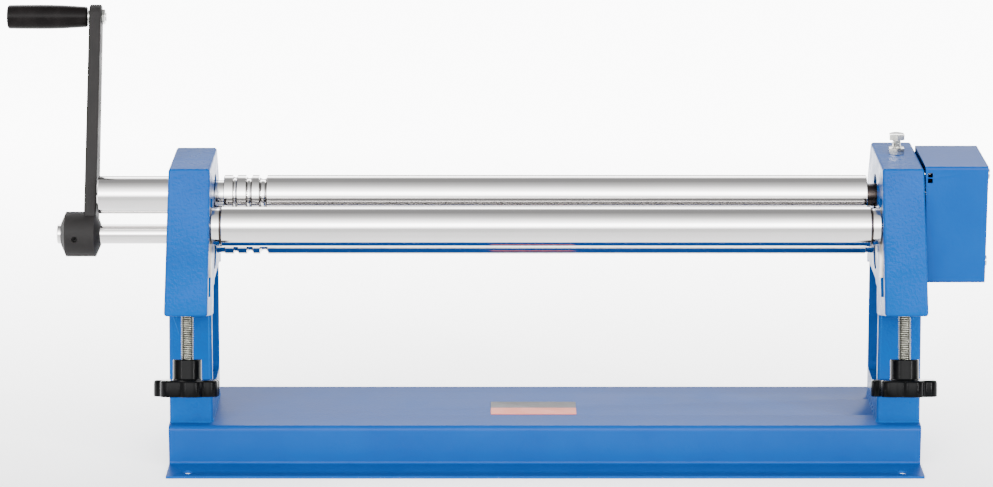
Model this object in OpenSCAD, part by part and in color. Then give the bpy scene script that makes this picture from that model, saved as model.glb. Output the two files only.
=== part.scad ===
// Bench slip roll machine for sheet metal, 24 inch rolls of 1.5 inch diameter.
// X runs along the rolls, +Y points away from the operator, +Z is up.
// The origin is the centre of the four bench bolts, on the bench surface.

/* [Rolls] */
// Length of each roll between its ring grooves
roll_len = 610; // [500:1:760]
// Diameter of the three rolls
roll_dia = 38; // [34:0.5:38.4]
// Distance between the axes of the two pinch rolls
pinch_pitch = 38.5; // [38.5:0.1:40]
// Distance of the pinch rolls behind the bench bolts' centre line, negative is in front
pinch_y = -34; // [-40:0.5:-30]
// Height of the drive roll's axis above the bench
drive_z = 222; // [220:0.5:226]
// Distance of the bending roll from the bench bolts' centre line
bend_y = -86; // [-90:0.5:-84]
// Height of the bending roll's axis above the bench
bend_z = 243; // [240:0.5:246]
// Travel of the bending roll below its place at rest
bend_down = 17.5; // [10:0.5:18]
// Travel of the bending roll above its place at rest
bend_up = 7; // [2:0.5:7]
// Lean of the bending roll's path from upright, its top away from the operator
bend_lean = 15; // [10:1:16]

/* [Journals] */
// Diameter of the bending roll's journals
bend_journal_dia = 18; // [14:0.5:20]
// Diameter of the drive roll's journals
drive_journal_dia = 22; // [20:0.5:24]
// Diameter of the top roll's left journal
top_left_journal_dia = 24; // [20:0.5:25]
// Diameter of the top roll's right journal
top_right_journal_dia = 21.5; // [20:0.5:24]
// Diameter of the drive roll's shaft where the crank sits
crank_shaft_dia = 18.3; // [15:0.1:19]
// Diameter of the shafts under the gears
gear_shaft_dia = 18; // [15:0.5:19]

/* [Wire grooves] */
// Diameter of the smallest wire groove
wire_groove_small = 4.4; // [3:0.1:5]
// Diameter of the middle wire groove
wire_groove_middle = 6; // [4:0.1:7]
// Diameter of the largest wire groove
wire_groove_large = 7.6; // [5:0.1:8]
// Distance from the roll's left end to the smallest groove
wire_groove_inset = 10.7; // [8:0.1:14]
// Distance between neighbouring grooves
wire_groove_step = 13.3; // [11:0.1:16]

/* [Base] */
// Length of the base past the foot of each column
base_overhang = 0; // [0:0.5:40]
// Depth of the base box
base_depth = 134; // [130:1:150]
// Height of the base's top face
base_z = 40; // [34:0.5:44]
// Width of each bench flange past the box
flange_w = 38; // [30:0.5:50]
// Thickness of the base sheet
base_sheet = 2.5; // [2:0.1:3.5]
// Outer radius of the base's bends
base_bend_r = 5; // [4:0.1:8]
// Diameter of the bench bolt holes
bench_hole_dia = 9; // [7:0.5:11]
// Distance from each end of the base to the bench holes
bench_hole_in = 20; // [19:0.5:40]
// Distance from the box's wall out to the bench holes
bench_hole_out = 26; // [22:0.5:30]

/* [End frames] */
// Distance from the end of the rolls to the inner face of each head, at its foot
head_gap_low = 11.1; // [11:0.1:15]
// The same distance at the head's top, where the casting draft has taken it inwards
head_gap_top = 8.3; // [8.2:0.1:11]
// Width of a head from inner to outer face, at its foot
head_w_low = 40.9; // [40:0.1:46]
// Width of a head at its top
head_w_top = 39; // [38:0.1:44]
// Height of the head's underside at its front edge
head_z_low = 166; // [163:0.5:168]
// Height of the head's top face
head_z_top = 301; // [299:0.5:306]
// Front face of the head at its underside
head_front_low = -127; // [-132:0.5:-125]
// Front face of the head at its top
head_front_top = -98; // [-104:0.5:-97.5]
// Rear end of the right head's top face
right_top_rear = 15; // [8:0.5:20]
// Rear end of the left head's top face
left_top_rear = -7; // [-10:0.5:-4]
// Radius of the rounded casting edges
cast_edge_r = 3; // [2:0.1:4]
// Front face of the column
column_front = -54; // [-55:0.5:-52.5]
// Rear face of the column
column_rear = 42; // [38:0.5:46]
// Distance from the end of the rolls to the column's inner face, on the base
column_gap_low = 14.5; // [12:0.1:16]
// Width of the column on the base
column_w_low = 41.5; // [40:0.1:47]
// Step from the head's side face back to the column
column_step = 2.2; // [0.5:0.1:3]
// Height of that step over the column
column_step_z = 176; // [172:0.5:178]
// Depth of the pocket in the column's inner side
pocket_depth = 18; // [8:0.5:20]
// Lower end of the pocket
pocket_low = 68; // [66:0.5:90]
// Upper end of the pocket
pocket_top = 180; // [150:0.5:181]
// Width of the flared toe on the column's inner side
flare_w = 3; // [2:0.1:8]
// Height of the flared toe
flare_h = 27; // [20:0.5:34]

/* [Bearings] */
// Width of the slot for the bending roll's bearing block
bend_slot_w = 26; // [24:0.5:27]
// Height of the bending bearing block
bend_block_h = 66; // [60:0.5:66]
// Top of that block above the roll's axis
bend_block_up = 18; // [16:0.5:18]
// Width of the slot for the pinch rolls' bearing blocks
pinch_slot_w = 30; // [29:0.5:32]
// Height of the drive bearing block under its axis
drive_block_down = 34.4; // [30:0.2:34.4]
// Distance that the lower bearing block's face is set back from the head's inner face
drive_block_setback = 2; // [1:0.1:3]
// Clearance all round a shaft in its bearing
shaft_clearance = 0.05; // [0.02:0.01:0.09]
// Clearance on each side of the sliding bearing block
block_clearance = 0.3; // [0.2:0.05:0.5]

/* [Height screws] */
// Diameter of the bending roll's height screws
screw_dia = 12; // [10:0.5:14]
// Diameter of the star knob's lobed rim
knob_rim_dia = 63; // [58:0.5:66]
// Height of the knob's rim
knob_rim_h = 15.7; // [13:0.1:18]
// Distance along the screw from the bending roll's axis to the knob's underside, at rest
knob_reach = 159.6; // [150:0.2:162]
// Diameter of the knob's hub
knob_hub_dia = 26.8; // [24:0.1:30]
// Height of the knob's hub above the rim
knob_hub_h = 19.1; // [16:0.1:22]
// Number of lobes round the rim
knob_lobes = 7; // [5:1:9]

/* [Gears] */
// Number of teeth of each pinch gear
gear_teeth = 19; // [17:1:24]
// Width of each pinch gear
gear_w = 18; // [14:0.5:20]
// Pressure angle of the teeth
gear_pressure_angle = 20; // [18:0.5:22]
// Play between the teeth, along the pitch circle
gear_backlash = 0.3; // [0.2:0.05:0.5]
// Distance from the right head's outer face to the gears
gear_gap = 4; // [3:0.1:6]

/* [Gear cover] */
// Length of the cover along the rolls, from the top of the head's outer face
cover_len = 60; // [56:0.1:68]
// Front face of the cover
cover_front = -97; // [-100:0.5:-94]
// Rear face of the cover
cover_rear = -7; // [-9:0.5:-4]
// Lower face of the cover
cover_z_low = 190.7; // [188:0.1:194]
// Upper face of the cover
cover_z_top = 303; // [300:0.1:306]
// Thickness of the cover's sheet
cover_sheet = 1.5; // [1:0.1:2.5]

/* [Crank] */
// Distance between the crank's two centres
crank_len = 214; // [180:1:230]
// Lean of the crank at rest, back from upright
crank_lean = 26; // [0:1:30]
// Diameter of the crank's hub
crank_hub_dia = 43; // [38:0.5:46]
// Length of the crank's hub past the arm's inner face
crank_hub_len = 34; // [30:0.5:38]
// Gap between the sleeve's outer end and the crank
crank_gap = 2.5; // [1.5:0.1:5]
// Length of the sleeve on the top roll's left end
sleeve_len = 68.3; // [60:0.1:76]
// Thickness of the crank's arm
crank_arm_t = 11.5; // [9:0.5:13]
// Width of the arm at the hub
crank_arm_w_hub = 32; // [28:0.5:36]
// Width of the arm at the grip
crank_arm_w_grip = 24; // [20:0.5:26]
// Largest diameter of the grip
grip_dia = 23.5; // [20:0.5:28]
// Diameter of the grip at its inner end
grip_inner_dia = 20; // [18:0.5:22]
// Length of the grip
grip_len = 77.5; // [60:0.5:90]
// Free length of spindle between the arm and the grip
grip_gap = 2; // [1:0.1:4]
// Diameter of the grip's spindle
spindle_dia = 8; // [6:0.5:10]

/* [Hidden] */
$fn = 96;

// One overrun lets every cut pass its face
overrun = 1;
// Facets of the rounded corners inside a hull
hull_fn = 24;

// Heights and places that follow from the sizes above
top_z = drive_z + pinch_pitch;
roll_r = roll_dia / 2;
roll_half = roll_len / 2;

// The heads and the columns stand off the rolls' ends, and the base reaches past the columns
head_in_low = roll_half + head_gap_low;
head_in_top = roll_half + head_gap_top;
column_in_low = roll_half + column_gap_low;
base_len = 2 * (column_in_low + column_w_low + base_overhang);
bench_hole_x = base_len - 2 * bench_hole_in;

// Ring groove and collar at the ends of the rolls
ring_w = 1.6;
ring_depth = 1.5;
collar_len = 7.6;
collar_inset = 1.2;
end_chamfer = 0.6;

// Bolts under the frames
frame_bolt_dia = 10;
frame_bolt_head_af = 17;
frame_bolt_head_h = 6.4;
frame_bolt_depth = 22;
frame_bolt_front = -32;
frame_bolt_rear = 20;
frame_washer_h = 2;
frame_washer_dia = 20;

// Adjusting bolt over the right top bearing
adjust_dia = 8;
adjust_head_af = 14;
adjust_head_h = 5.6;
adjust_head_top = 320.5;
lock_nut_h = 6.5;
thread_clearance = 0.05;

// Crank and grip fastenings
set_screw_dia = 6;
set_screw_len = 9;
spindle_collar_dia = 14;
spindle_collar_h = 1.4;
grip_nut_af = 13;
grip_nut_h = 3.5;
grip_cap_len = 6;
grip_bore_clearance = 0.1;

// Middle of a head's width, where the height screws stand
screw_x = head_in_low + head_w_low / 2;

// Plane of a head's inner face at height z
function head_inner(z) =
    head_in_low + (head_in_top - head_in_low) * (z - head_z_low) / (head_z_top - head_z_low);

// Plane of a head's outer face at height z
function head_outer(z) =
    head_in_low + head_w_low
    + (head_in_top + head_w_top - head_in_low - head_w_low) * (z - head_z_low) / (head_z_top - head_z_low);

// A solid of revolution about an axis along X, from a list of [x, radius] points
module turned(outline) {
    last = len(outline) - 1;
    rotate([0, 90, 0])
        rotate_extrude()
            polygon(concat([[0, outline[0][0]]], [for (p = outline) [p[1], p[0]]], [[0, outline[last][0]]]));
}

// A cylinder along X from x_low to x_high
module rod_x(x_low, x_high, dia) {
    translate([x_low, 0, 0])
        rotate([0, 90, 0])
            cylinder(h = x_high - x_low, d = dia);
}

// A profile in Y and Z, given as a 2D child, extruded along X
module along_x(x_low, x_high) {
    translate([x_low, 0, 0])
        rotate([90, 0, 90])
            linear_extrude(x_high - x_low)
                children();
}

// A rectangle with rounded corners, from its lowest to its highest corner
module rounded_rect(low, high, r) {
    translate([low[0] + r, low[1]])
        square([high[0] - low[0] - 2 * r, high[1] - low[1]]);
    translate([low[0], low[1] + r])
        square([high[0] - low[0], high[1] - low[1] - 2 * r]);
    for (x = [low[0] + r, high[0] - r], y = [low[1] + r, high[1] - r])
        translate([x, y])
            circle(r);
}

// A hexagon by its width across flats
module hexagon(across_flats) {
    circle(d = across_flats / cos(30), $fn = 6);
}

// Places children on the bending roll's axis at rest, with z along the leaning path
module on_bend_path() {
    translate([0, bend_y, bend_z])
        rotate([-bend_lean, 0, 0])
            children();
}

// Left parts are the right ones seen in a mirror
module on_left() {
    mirror([1, 0, 0])
        children();
}

// Base
base_wall_y = base_depth / 2;
bench_hole_y = base_depth + 2 * bench_hole_out;
base_inner_r = base_bend_r - base_sheet;

// Half of the folded section, a quarter bend at the top and one at the flange
module base_half_section() {
    square([base_wall_y - base_bend_r, base_sheet]);
    translate([base_wall_y - base_bend_r, -base_inner_r])
        intersection() {
            difference() {
                circle(base_bend_r);
                circle(base_inner_r);
            }
            square(base_bend_r);
        }
    translate([base_wall_y - base_sheet, base_sheet + base_bend_r - base_z])
        square([base_sheet, base_z - 2 * base_bend_r]);
    translate([base_wall_y + base_inner_r, base_sheet + base_bend_r - base_z])
        intersection() {
            difference() {
                circle(base_bend_r);
                circle(base_inner_r);
            }
            translate([-base_bend_r, -base_bend_r])
                square(base_bend_r);
        }
    translate([base_wall_y + base_inner_r, base_sheet - base_z])
        square([flange_w - base_inner_r, base_sheet]);
}

module base_section() {
    base_half_section();
    mirror([1, 0])
        base_half_section();
}

module base() {
    color("steelblue")
        difference() {
            translate([0, 0, base_z - base_sheet])
                along_x(-base_len / 2, base_len / 2)
                    base_section();
            for (x = [-bench_hole_x / 2, bench_hole_x / 2], y = [-bench_hole_y / 2, bench_hole_y / 2])
                translate([x, y, -overrun])
                    cylinder(h = base_sheet + 2 * overrun, d = bench_hole_dia);
            for (x = [-screw_x, screw_x], y = [frame_bolt_front, frame_bolt_rear])
                translate([x, y, base_z - base_sheet - overrun])
                    cylinder(h = base_sheet + 2 * overrun, d = frame_bolt_dia + 2 * shaft_clearance);
        }
}

// End frames
flare_r = (flare_w * flare_w + flare_h * flare_h) / (2 * flare_w);
fillet_r = 7;
rear_chamfer_z = 273;
rear_chamfer_y = 33;
rear_chamfer_low = 262;
left_rear_z = 236;
pocket_rim_front = 9;
pocket_rim_rear = 6;
pocket_corner_r = 8;
slot_end_play = 0.9;
bend_slot_low = bend_block_up - bend_block_h - bend_down - slot_end_play;
bend_slot_top = bend_block_up + bend_up + slot_end_play;
pinch_slot_low = drive_z - drive_block_down;
pinch_arch_rise = 5.5;
pinch_slot_top = top_z + pinch_slot_w / 2 + pinch_arch_rise;

// Cuts through a head run past both of its side faces
slot_cut_in = head_in_top - flare_w;
slot_cut_out = head_in_low + head_w_low + flare_w;
head_floor_reach = 30;

// Height of the head's underside at depth y; it is square to the bending path
function head_under(y) =
    head_z_low + cast_edge_r - cast_edge_r / cos(bend_lean)
    - (y - head_front_low - cast_edge_r) * tan(bend_lean);
head_rear_low = head_z_low - (column_rear - head_front_low - 2 * cast_edge_r) * tan(bend_lean);

// A rounded casting corner at a place on the head's surface
module cast_corner(x_side, y, z, y_side, z_side) {
    x = x_side > 0 ? head_outer(z) : head_inner(z);
    translate([x - x_side * cast_edge_r, y - y_side * cast_edge_r, z - z_side * cast_edge_r])
        sphere(cast_edge_r, $fn = hull_fn);
}

// The head: a block whose faces lean with the casting's draft
module head_block(rear_points) {
    hull()
        for (x_side = [-1, 1]) {
            cast_corner(x_side, head_front_low, head_z_low, -1, -1);
            cast_corner(x_side, head_front_top, head_z_top, -1, 1);
            cast_corner(x_side, column_rear, head_rear_low, 1, -1);
            for (p = rear_points)
                cast_corner(x_side, p[0], p[1], 1, 1);
        }
}

// A disc that rounds one upright edge of the column
module column_corner(x, y_side, z) {
    y = y_side > 0 ? column_rear : column_front;
    translate([x, y - y_side * cast_edge_r, z])
        cylinder(h = overrun, r = cast_edge_r, $fn = hull_fn);
}

// The column under the head, widest on the base and one step narrower than the head
module column_block() {
    z_top = column_step_z + cast_edge_r;
    hull()
        for (y_side = [-1, 1]) {
            column_corner(column_in_low + cast_edge_r, y_side, base_z);
            column_corner(column_in_low + column_w_low - cast_edge_r, y_side, base_z);
            column_corner(head_inner(z_top) + column_step + cast_edge_r, y_side, z_top);
            column_corner(head_outer(z_top) + column_step - cast_edge_r, y_side, z_top);
        }
}

// The toe that spreads the column's inner side on the base
module column_flare() {
    x_face = column_in_low + column_step;
    translate([0, column_rear - cast_edge_r, base_z])
        rotate([90, 0, 0])
            linear_extrude(column_rear - column_front - 2 * cast_edge_r)
                difference() {
                    translate([x_face - flare_w, 0])
                        square([flare_w + cast_edge_r, flare_h]);
                    translate([x_face - flare_r, flare_h])
                        circle(flare_r, $fn = 4 * $fn);
                }
}

// The round under the overhanging head, against the column's front
module overhang_fillet() {
    reach = fillet_r + cast_edge_r;
    z_middle = head_under(column_front) + fillet_r * tan(bend_lean) - fillet_r / cos(bend_lean);
    x_low = head_in_low + column_step + cast_edge_r;
    along_x(x_low, x_low + head_w_low - 2 * column_step - 2 * cast_edge_r)
        translate([column_front - fillet_r, z_middle])
            difference() {
                polygon([[0, 0], [reach, 0], [reach, reach],
                    [reach * sin(bend_lean), reach * cos(bend_lean)]]);
                circle(fillet_r);
            }
}

// Outline of a slot with two round ends
module slot_outline(w, z_low, z_top) {
    translate([-w / 2, z_low + w / 2])
        square([w, z_top - z_low - w]);
    for (z = [z_low + w / 2, z_top - w / 2])
        translate([0, z])
            circle(d = w);
}

// Pocket that lightens the column's inner side, inside a rim
module column_pocket() {
    along_x(head_in_top - flare_w, column_in_low + pocket_depth)
        rounded_rect([column_front + pocket_rim_front, pocket_low],
            [column_rear - pocket_rim_rear, pocket_top], pocket_corner_r);
}

module end_frame(rear_points) {
    difference() {
        union() {
            difference() {
                head_block(rear_points);
                translate([head_in_top - flare_w, column_front, head_rear_low - overrun])
                    cube([2 * head_w_low, column_rear - column_front + overrun,
                        column_step_z - head_rear_low + overrun]);
            }
            column_block();
            column_flare();
            overhang_fillet();
        }
        column_pocket();
        along_x(slot_cut_in, slot_cut_out)
            translate([pinch_y, 0])
                slot_outline(pinch_slot_w, pinch_slot_low, pinch_slot_top);
        on_bend_path() {
            along_x(slot_cut_in, slot_cut_out)
                translate([-bend_slot_w / 2, bend_slot_low])
                    square([bend_slot_w, bend_slot_top - bend_slot_low]);
            translate([screw_x, 0, bend_slot_low - head_floor_reach])
                cylinder(h = head_floor_reach + overrun, d = screw_dia + 2 * thread_clearance);
        }
        for (y = [frame_bolt_front, frame_bolt_rear])
            translate([screw_x, y, base_z - overrun])
                cylinder(h = frame_bolt_depth + overrun, d = frame_bolt_dia + 2 * thread_clearance);
    }
}

module left_end_frame() {
    color("dodgerblue")
        on_left()
            end_frame([[left_top_rear, head_z_top], [column_rear, left_rear_z]]);
}

module right_end_frame() {
    color("dodgerblue")
        difference() {
            end_frame([[right_top_rear, head_z_top], [rear_chamfer_y, rear_chamfer_z],
                [column_rear, rear_chamfer_low]]);
            translate([adjust_x, pinch_y, pinch_slot_top - pinch_slot_w])
                cylinder(h = head_z_top, d = adjust_dia + 2 * thread_clearance);
            for (p = cover_post_places)
                translate([head_outer(p[1]) - cover_post_depth, p[0], p[1]])
                    rotate([0, 90, 0])
                        cylinder(h = cover_post_depth + head_w_low,
                            d = cover_screw_dia + 2 * thread_clearance);
        }
}

// Two bolts from under the base hold each frame
module frame_bolts() {
    for (y = [frame_bolt_front, frame_bolt_rear])
        translate([screw_x, y, base_z - base_sheet]) {
            translate([0, 0, -frame_washer_h])
                cylinder(h = frame_washer_h, d = frame_washer_dia);
            translate([0, 0, -frame_washer_h - frame_bolt_head_h])
                linear_extrude(frame_bolt_head_h)
                    hexagon(frame_bolt_head_af);
            cylinder(h = base_sheet + frame_bolt_depth - overrun, d = frame_bolt_dia);
        }
}

module left_frame_bolts() {
    color("silver")
        on_left()
            frame_bolts();
}

module right_frame_bolts() {
    color("silver")
        frame_bolts();
}

// Bearing blocks of the pinch rolls
block_out_setback = 2.5;
block_out = head_outer(bend_z) - block_out_setback;
pinch_split_z = (drive_z + top_z) / 2;
top_block_gap = 2;
top_block_top = pinch_slot_top - top_block_gap;
pinch_block_fit = 0.1;
pinch_block_r = pinch_slot_w / 2 - pinch_block_fit;

// Block with one round end at z_end and its flat face on the split, end_side -1 for a round foot
module pinch_block(z_end, end_side) {
    z_round = z_end - end_side * pinch_block_r;
    translate([pinch_y, 0]) {
        translate([-pinch_block_r, min(z_round, pinch_split_z)])
            square([2 * pinch_block_r, abs(z_round - pinch_split_z)]);
        translate([0, z_round])
            circle(pinch_block_r);
    }
}

module drive_bearing() {
    difference() {
        along_x(head_inner(drive_z) + drive_block_setback, block_out)
            pinch_block(pinch_slot_low + pinch_block_fit, -1);
        translate([0, pinch_y, drive_z])
            rod_x(slot_cut_in, slot_cut_out, drive_journal_dia + 2 * shaft_clearance);
    }
}

module top_bearing(journal_dia) {
    difference() {
        along_x(head_inner(top_z) + drive_block_setback, block_out)
            pinch_block(top_block_top, 1);
        translate([0, pinch_y, top_z])
            rod_x(slot_cut_in, slot_cut_out, journal_dia + 2 * shaft_clearance);
    }
}

module left_drive_bearing() {
    color("dimgray")
        on_left()
            drive_bearing();
}

module right_drive_bearing() {
    color("dimgray")
        drive_bearing();
}

module left_top_bearing() {
    color("dimgray")
        on_left()
            top_bearing(top_left_journal_dia);
}

module right_top_bearing() {
    color("dimgray")
        top_bearing(top_right_journal_dia);
}

// Hex bolt that presses the right top bearing down, with its lock nut
adjust_x = head_inner(head_z_top) + head_w_top / 2;

module top_adjust_bolt() {
    color("silver")
        translate([adjust_x, pinch_y, 0]) {
            translate([0, 0, top_block_top])
                cylinder(h = adjust_head_top - adjust_head_h - top_block_top, d = adjust_dia);
            translate([0, 0, adjust_head_top - adjust_head_h])
                intersection() {
                    linear_extrude(adjust_head_h)
                        hexagon(adjust_head_af);
                    cylinder(h = adjust_head_h, r1 = adjust_head_af / 2 + 2 * adjust_head_h,
                        r2 = adjust_head_af / 2);
                }
        }
}

module top_lock_nut() {
    color("silver")
        translate([adjust_x, pinch_y, head_z_top])
            difference() {
                linear_extrude(lock_nut_h)
                    hexagon(adjust_head_af);
                translate([0, 0, -overrun])
                    cylinder(h = lock_nut_h + 2 * overrun, d = adjust_dia + 2 * thread_clearance);
            }
}

// Gear cover, an open sheet box whose rim follows the head's outer face
cover_x = head_outer(head_z_top) + cover_len;
cover_gap = 1.2;
cover_post_seat = 0.3;
cover_notch_w = 4.6;
cover_notch_h = 4.5;
cover_notch_pitch = 5.3;
cover_notch_inset = 3.5;
cover_notch_drop = 5.8;
cover_corner_r = 3;
cover_post_dia = 10;
cover_post_depth = 14;
cover_screw_dia = 6;
cover_screw_head_dia = 10;
cover_screw_head_h = 5;
cover_post_inset = 14;
cover_post_wall = 17;
// The posts stand on the wall between the two slots
cover_post_y = pinch_y - pinch_slot_w / 2 - cover_post_wall;
cover_post_places = [[cover_post_y, cover_z_low + cover_post_inset],
    [cover_post_y, cover_z_top - cover_post_inset]];

// Everything outboard of the head's outer face, grown by a gap
module outboard_of_head(gap) {
    low_x = head_outer(cover_z_low - base_sheet) + gap;
    high_x = head_outer(cover_z_top + base_sheet) + gap;
    translate([0, cover_rear + overrun, 0])
        rotate([90, 0, 0])
            linear_extrude(cover_rear - cover_front + 2 * overrun)
                polygon([[low_x, cover_z_low - base_sheet], [cover_x + overrun, cover_z_low - base_sheet],
                    [cover_x + overrun, cover_z_top + base_sheet], [high_x, cover_z_top + base_sheet]]);
}

module gear_cover() {
    color("dodgerblue")
        difference() {
            intersection() {
                along_x(head_in_top, cover_x)
                    rounded_rect([cover_front, cover_z_low], [cover_rear, cover_z_top], cover_corner_r);
                outboard_of_head(cover_gap);
            }
            along_x(head_in_top - overrun, cover_x - cover_sheet)
                rounded_rect([cover_front + cover_sheet, cover_z_low + cover_sheet],
                    [cover_rear - cover_sheet, cover_z_top - cover_sheet], cover_corner_r - cover_sheet);
            for (i = [0, 1])
                translate([head_outer(cover_z_top) + cover_notch_inset, cover_front - overrun,
                    cover_z_top - cover_notch_drop - cover_notch_h - i * cover_notch_pitch])
                    cube([cover_notch_w, cover_sheet + 2 * overrun, cover_notch_h]);
            for (p = cover_post_places)
                translate([0, p[0], p[1]])
                    rod_x(cover_x - 2 * cover_sheet, cover_x + overrun,
                        cover_screw_dia + 2 * thread_clearance);
        }
}

// Posts that carry the cover, screwed into the head
module cover_posts() {
    color("silver")
        for (p = cover_post_places)
            translate([0, p[0], p[1]])
                difference() {
                    union() {
                        rod_x(head_outer(p[1]) + cover_post_seat, cover_x - cover_sheet, cover_post_dia);
                        rod_x(head_outer(p[1]) - cover_post_depth + overrun,
                            head_outer(p[1]) + cover_post_seat, cover_screw_dia);
                    }
                    rod_x(cover_x - cover_sheet - cover_post_depth, cover_x,
                        cover_screw_dia + 2 * thread_clearance);
                }
}

module cover_screws() {
    color("silver")
        for (p = cover_post_places)
            translate([0, p[0], p[1]])
                difference() {
                    union() {
                        rod_x(cover_x - cover_sheet - cover_post_depth + overrun, cover_x, cover_screw_dia);
                        rod_x(cover_x, cover_x + cover_screw_head_h, cover_screw_head_dia);
                    }
                    along_x(cover_x + cover_screw_head_h / 2, cover_x + cover_screw_head_h + overrun)
                        hexagon(cover_screw_head_h);
                }
}

// Bending roll with its two sliding bearing blocks
collar_end = roll_half + ring_w / 2 + collar_len;
bend_journal_setback = 2;
bend_journal_end = block_out - bend_journal_setback;

module bending_bearing() {
    block_w = bend_slot_w - 2 * block_clearance;
    on_bend_path()
        difference() {
            along_x(head_inner(bend_z), block_out)
                translate([-block_w / 2, bend_block_up - bend_block_h])
                    square([block_w, bend_block_h]);
            rod_x(slot_cut_in, slot_cut_out, bend_journal_dia + 2 * shaft_clearance);
        }
}

module left_bending_bearing() {
    color("cornflowerblue")
        on_left()
            bending_bearing();
}

module right_bending_bearing() {
    color("cornflowerblue")
        bending_bearing();
}

// Right half of the bending roll's outline, from the middle outwards
function bend_half_outline() = [
    [roll_half - ring_w / 2 - end_chamfer, roll_r],
    [roll_half - ring_w / 2, roll_r - end_chamfer],
    [roll_half - ring_w / 2, roll_r - ring_depth],
    [roll_half + ring_w / 2, roll_r - ring_depth],
    [roll_half + ring_w / 2, roll_r - collar_inset],
    [collar_end - end_chamfer, roll_r - collar_inset],
    [collar_end, roll_r - collar_inset - end_chamfer],
    [collar_end, bend_journal_dia / 2],
    [bend_journal_end - end_chamfer, bend_journal_dia / 2],
    [bend_journal_end, bend_journal_dia / 2 - end_chamfer]];

// The same points on the other side, in order from left to right
function mirrored(points) = [for (i = [len(points) - 1:-1:0]) [-points[i][0], points[i][1]]];

module bending_roll() {
    color("gainsboro")
        translate([0, bend_y, bend_z])
            turned(concat(mirrored(bend_half_outline()), bend_half_outline()));
}

// Star knobs and their screws under the heads
screw_top = bend_block_up - bend_block_h;
lobe_dia_share = 0.36;
valley_dia_share = 0.2;
valley_centre_share = 0.53;
knob_core_share = 0.9;
knob_socket_depth = 12;

// On both machine ends one lobe points to the crank's end, so the right knob's lobes are turned round
module height_knob(lobe_turn) {
    lobe_d = knob_rim_dia * lobe_dia_share;
    on_bend_path()
        translate([screw_x, 0, -knob_reach])
            difference() {
                union() {
                    linear_extrude(knob_rim_h)
                        difference() {
                            union() {
                                circle(d = knob_rim_dia * knob_core_share);
                                for (i = [0:knob_lobes - 1])
                                    rotate(lobe_turn + 360 * i / knob_lobes)
                                        translate([knob_rim_dia / 2 - lobe_d / 2, 0])
                                            circle(d = lobe_d);
                            }
                            for (i = [0:knob_lobes - 1])
                                rotate(lobe_turn + 360 * (i + 0.5) / knob_lobes)
                                    translate([knob_rim_dia * valley_centre_share, 0])
                                        circle(d = knob_rim_dia * valley_dia_share);
                        }
                    translate([0, 0, knob_rim_h])
                        cylinder(h = knob_hub_h, d = knob_hub_dia);
                }
                translate([0, 0, knob_rim_h + knob_hub_h - knob_socket_depth])
                    cylinder(h = knob_socket_depth + overrun, d = screw_dia);
            }
}

module height_screw() {
    screw_low = knob_rim_h + knob_hub_h - knob_socket_depth - knob_reach;
    on_bend_path()
        translate([screw_x, 0, screw_low])
            cylinder(h = screw_top - screw_low, d = screw_dia);
}

module left_height_knob() {
    color("black")
        on_left()
            height_knob(0);
}

module right_height_knob() {
    color("black")
        height_knob(180);
}

module left_height_screw() {
    color("silver")
        on_left()
            height_screw();
}

module right_height_screw() {
    color("silver")
        height_screw();
}

// Wire grooves, the small one nearest the left end
wire_grooves = [wire_groove_small, wire_groove_middle, wire_groove_large];

module wire_groove_cut() {
    for (i = [0:len(wire_grooves) - 1])
        translate([wire_groove_inset + i * wire_groove_step - roll_half, 0, 0])
            rotate([0, 90, 0])
                rotate_extrude()
                    translate([roll_r, 0])
                        circle(d = wire_grooves[i]);
}

// Keys between the gears and their shafts
key_w = 5;
key_h = 5;
key_in_shaft = 3;
gear_x = head_outer(drive_z) + gear_gap;
gear_end_x = gear_x + gear_w;
shaft_shoulder = 0.3;
gear_screw_dia = 8;
gear_screw_depth = 18;
gear_washer_dia = 24;
gear_washer_h = 2.5;
gear_screw_head_af = 13;
gear_screw_head_h = 5.3;

module gear_key() {
    translate([gear_x + end_chamfer, -key_w / 2, gear_shaft_dia / 2 - key_in_shaft])
        cube([gear_w - 2 * end_chamfer, key_w, key_h]);
}

// Keyseat and tapped end of a shaft under a gear
module gear_end_cuts() {
    translate([gear_x + end_chamfer, -key_w / 2, gear_shaft_dia / 2 - key_in_shaft])
        cube([gear_w + overrun, key_w, key_h]);
    rod_x(gear_end_x - gear_screw_depth, gear_end_x + overrun, gear_screw_dia + 2 * thread_clearance);
}

// Outline from a journal to the end of the shaft under a gear
function gear_end_outline(journal_dia) = [
    [gear_x - shaft_shoulder, journal_dia / 2],
    [gear_x - shaft_shoulder, gear_shaft_dia / 2],
    [gear_end_x - end_chamfer - shaft_shoulder, gear_shaft_dia / 2],
    [gear_end_x - shaft_shoulder, gear_shaft_dia / 2 - end_chamfer]];

module gear_end_screw() {
    rod_x(gear_end_x, gear_end_x + gear_washer_h, gear_washer_dia);
    along_x(gear_end_x + gear_washer_h, gear_end_x + gear_washer_h + gear_screw_head_h)
        hexagon(gear_screw_head_af);
    rod_x(gear_end_x - gear_screw_depth + overrun, gear_end_x, gear_screw_dia);
}

// Involute gears
gear_module = pinch_pitch / gear_teeth;
gear_pitch_r = pinch_pitch / 2;
gear_base_r = gear_pitch_r * cos(gear_pressure_angle);
gear_addendum_share = 0.95;
gear_dedendum_share = 1.25;
gear_tip_r = gear_pitch_r + gear_addendum_share * gear_module;
gear_root_r = gear_pitch_r - gear_dedendum_share * gear_module;
flank_steps = 6;

// Angle between the radius and the involute at radius r, and the involute's polar angle there
function pressure_at(r) = acos(min(1, gear_base_r / r));
function involute(r) = tan(pressure_at(r)) * 180 / PI - pressure_at(r);

// Half of the tooth's angle at radius r, with its share of the backlash taken off
function half_tooth(r) =
    90 / gear_teeth - gear_backlash / gear_pitch_r * 45 / PI
    + involute(gear_pitch_r) - involute(max(r, gear_base_r));

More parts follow.
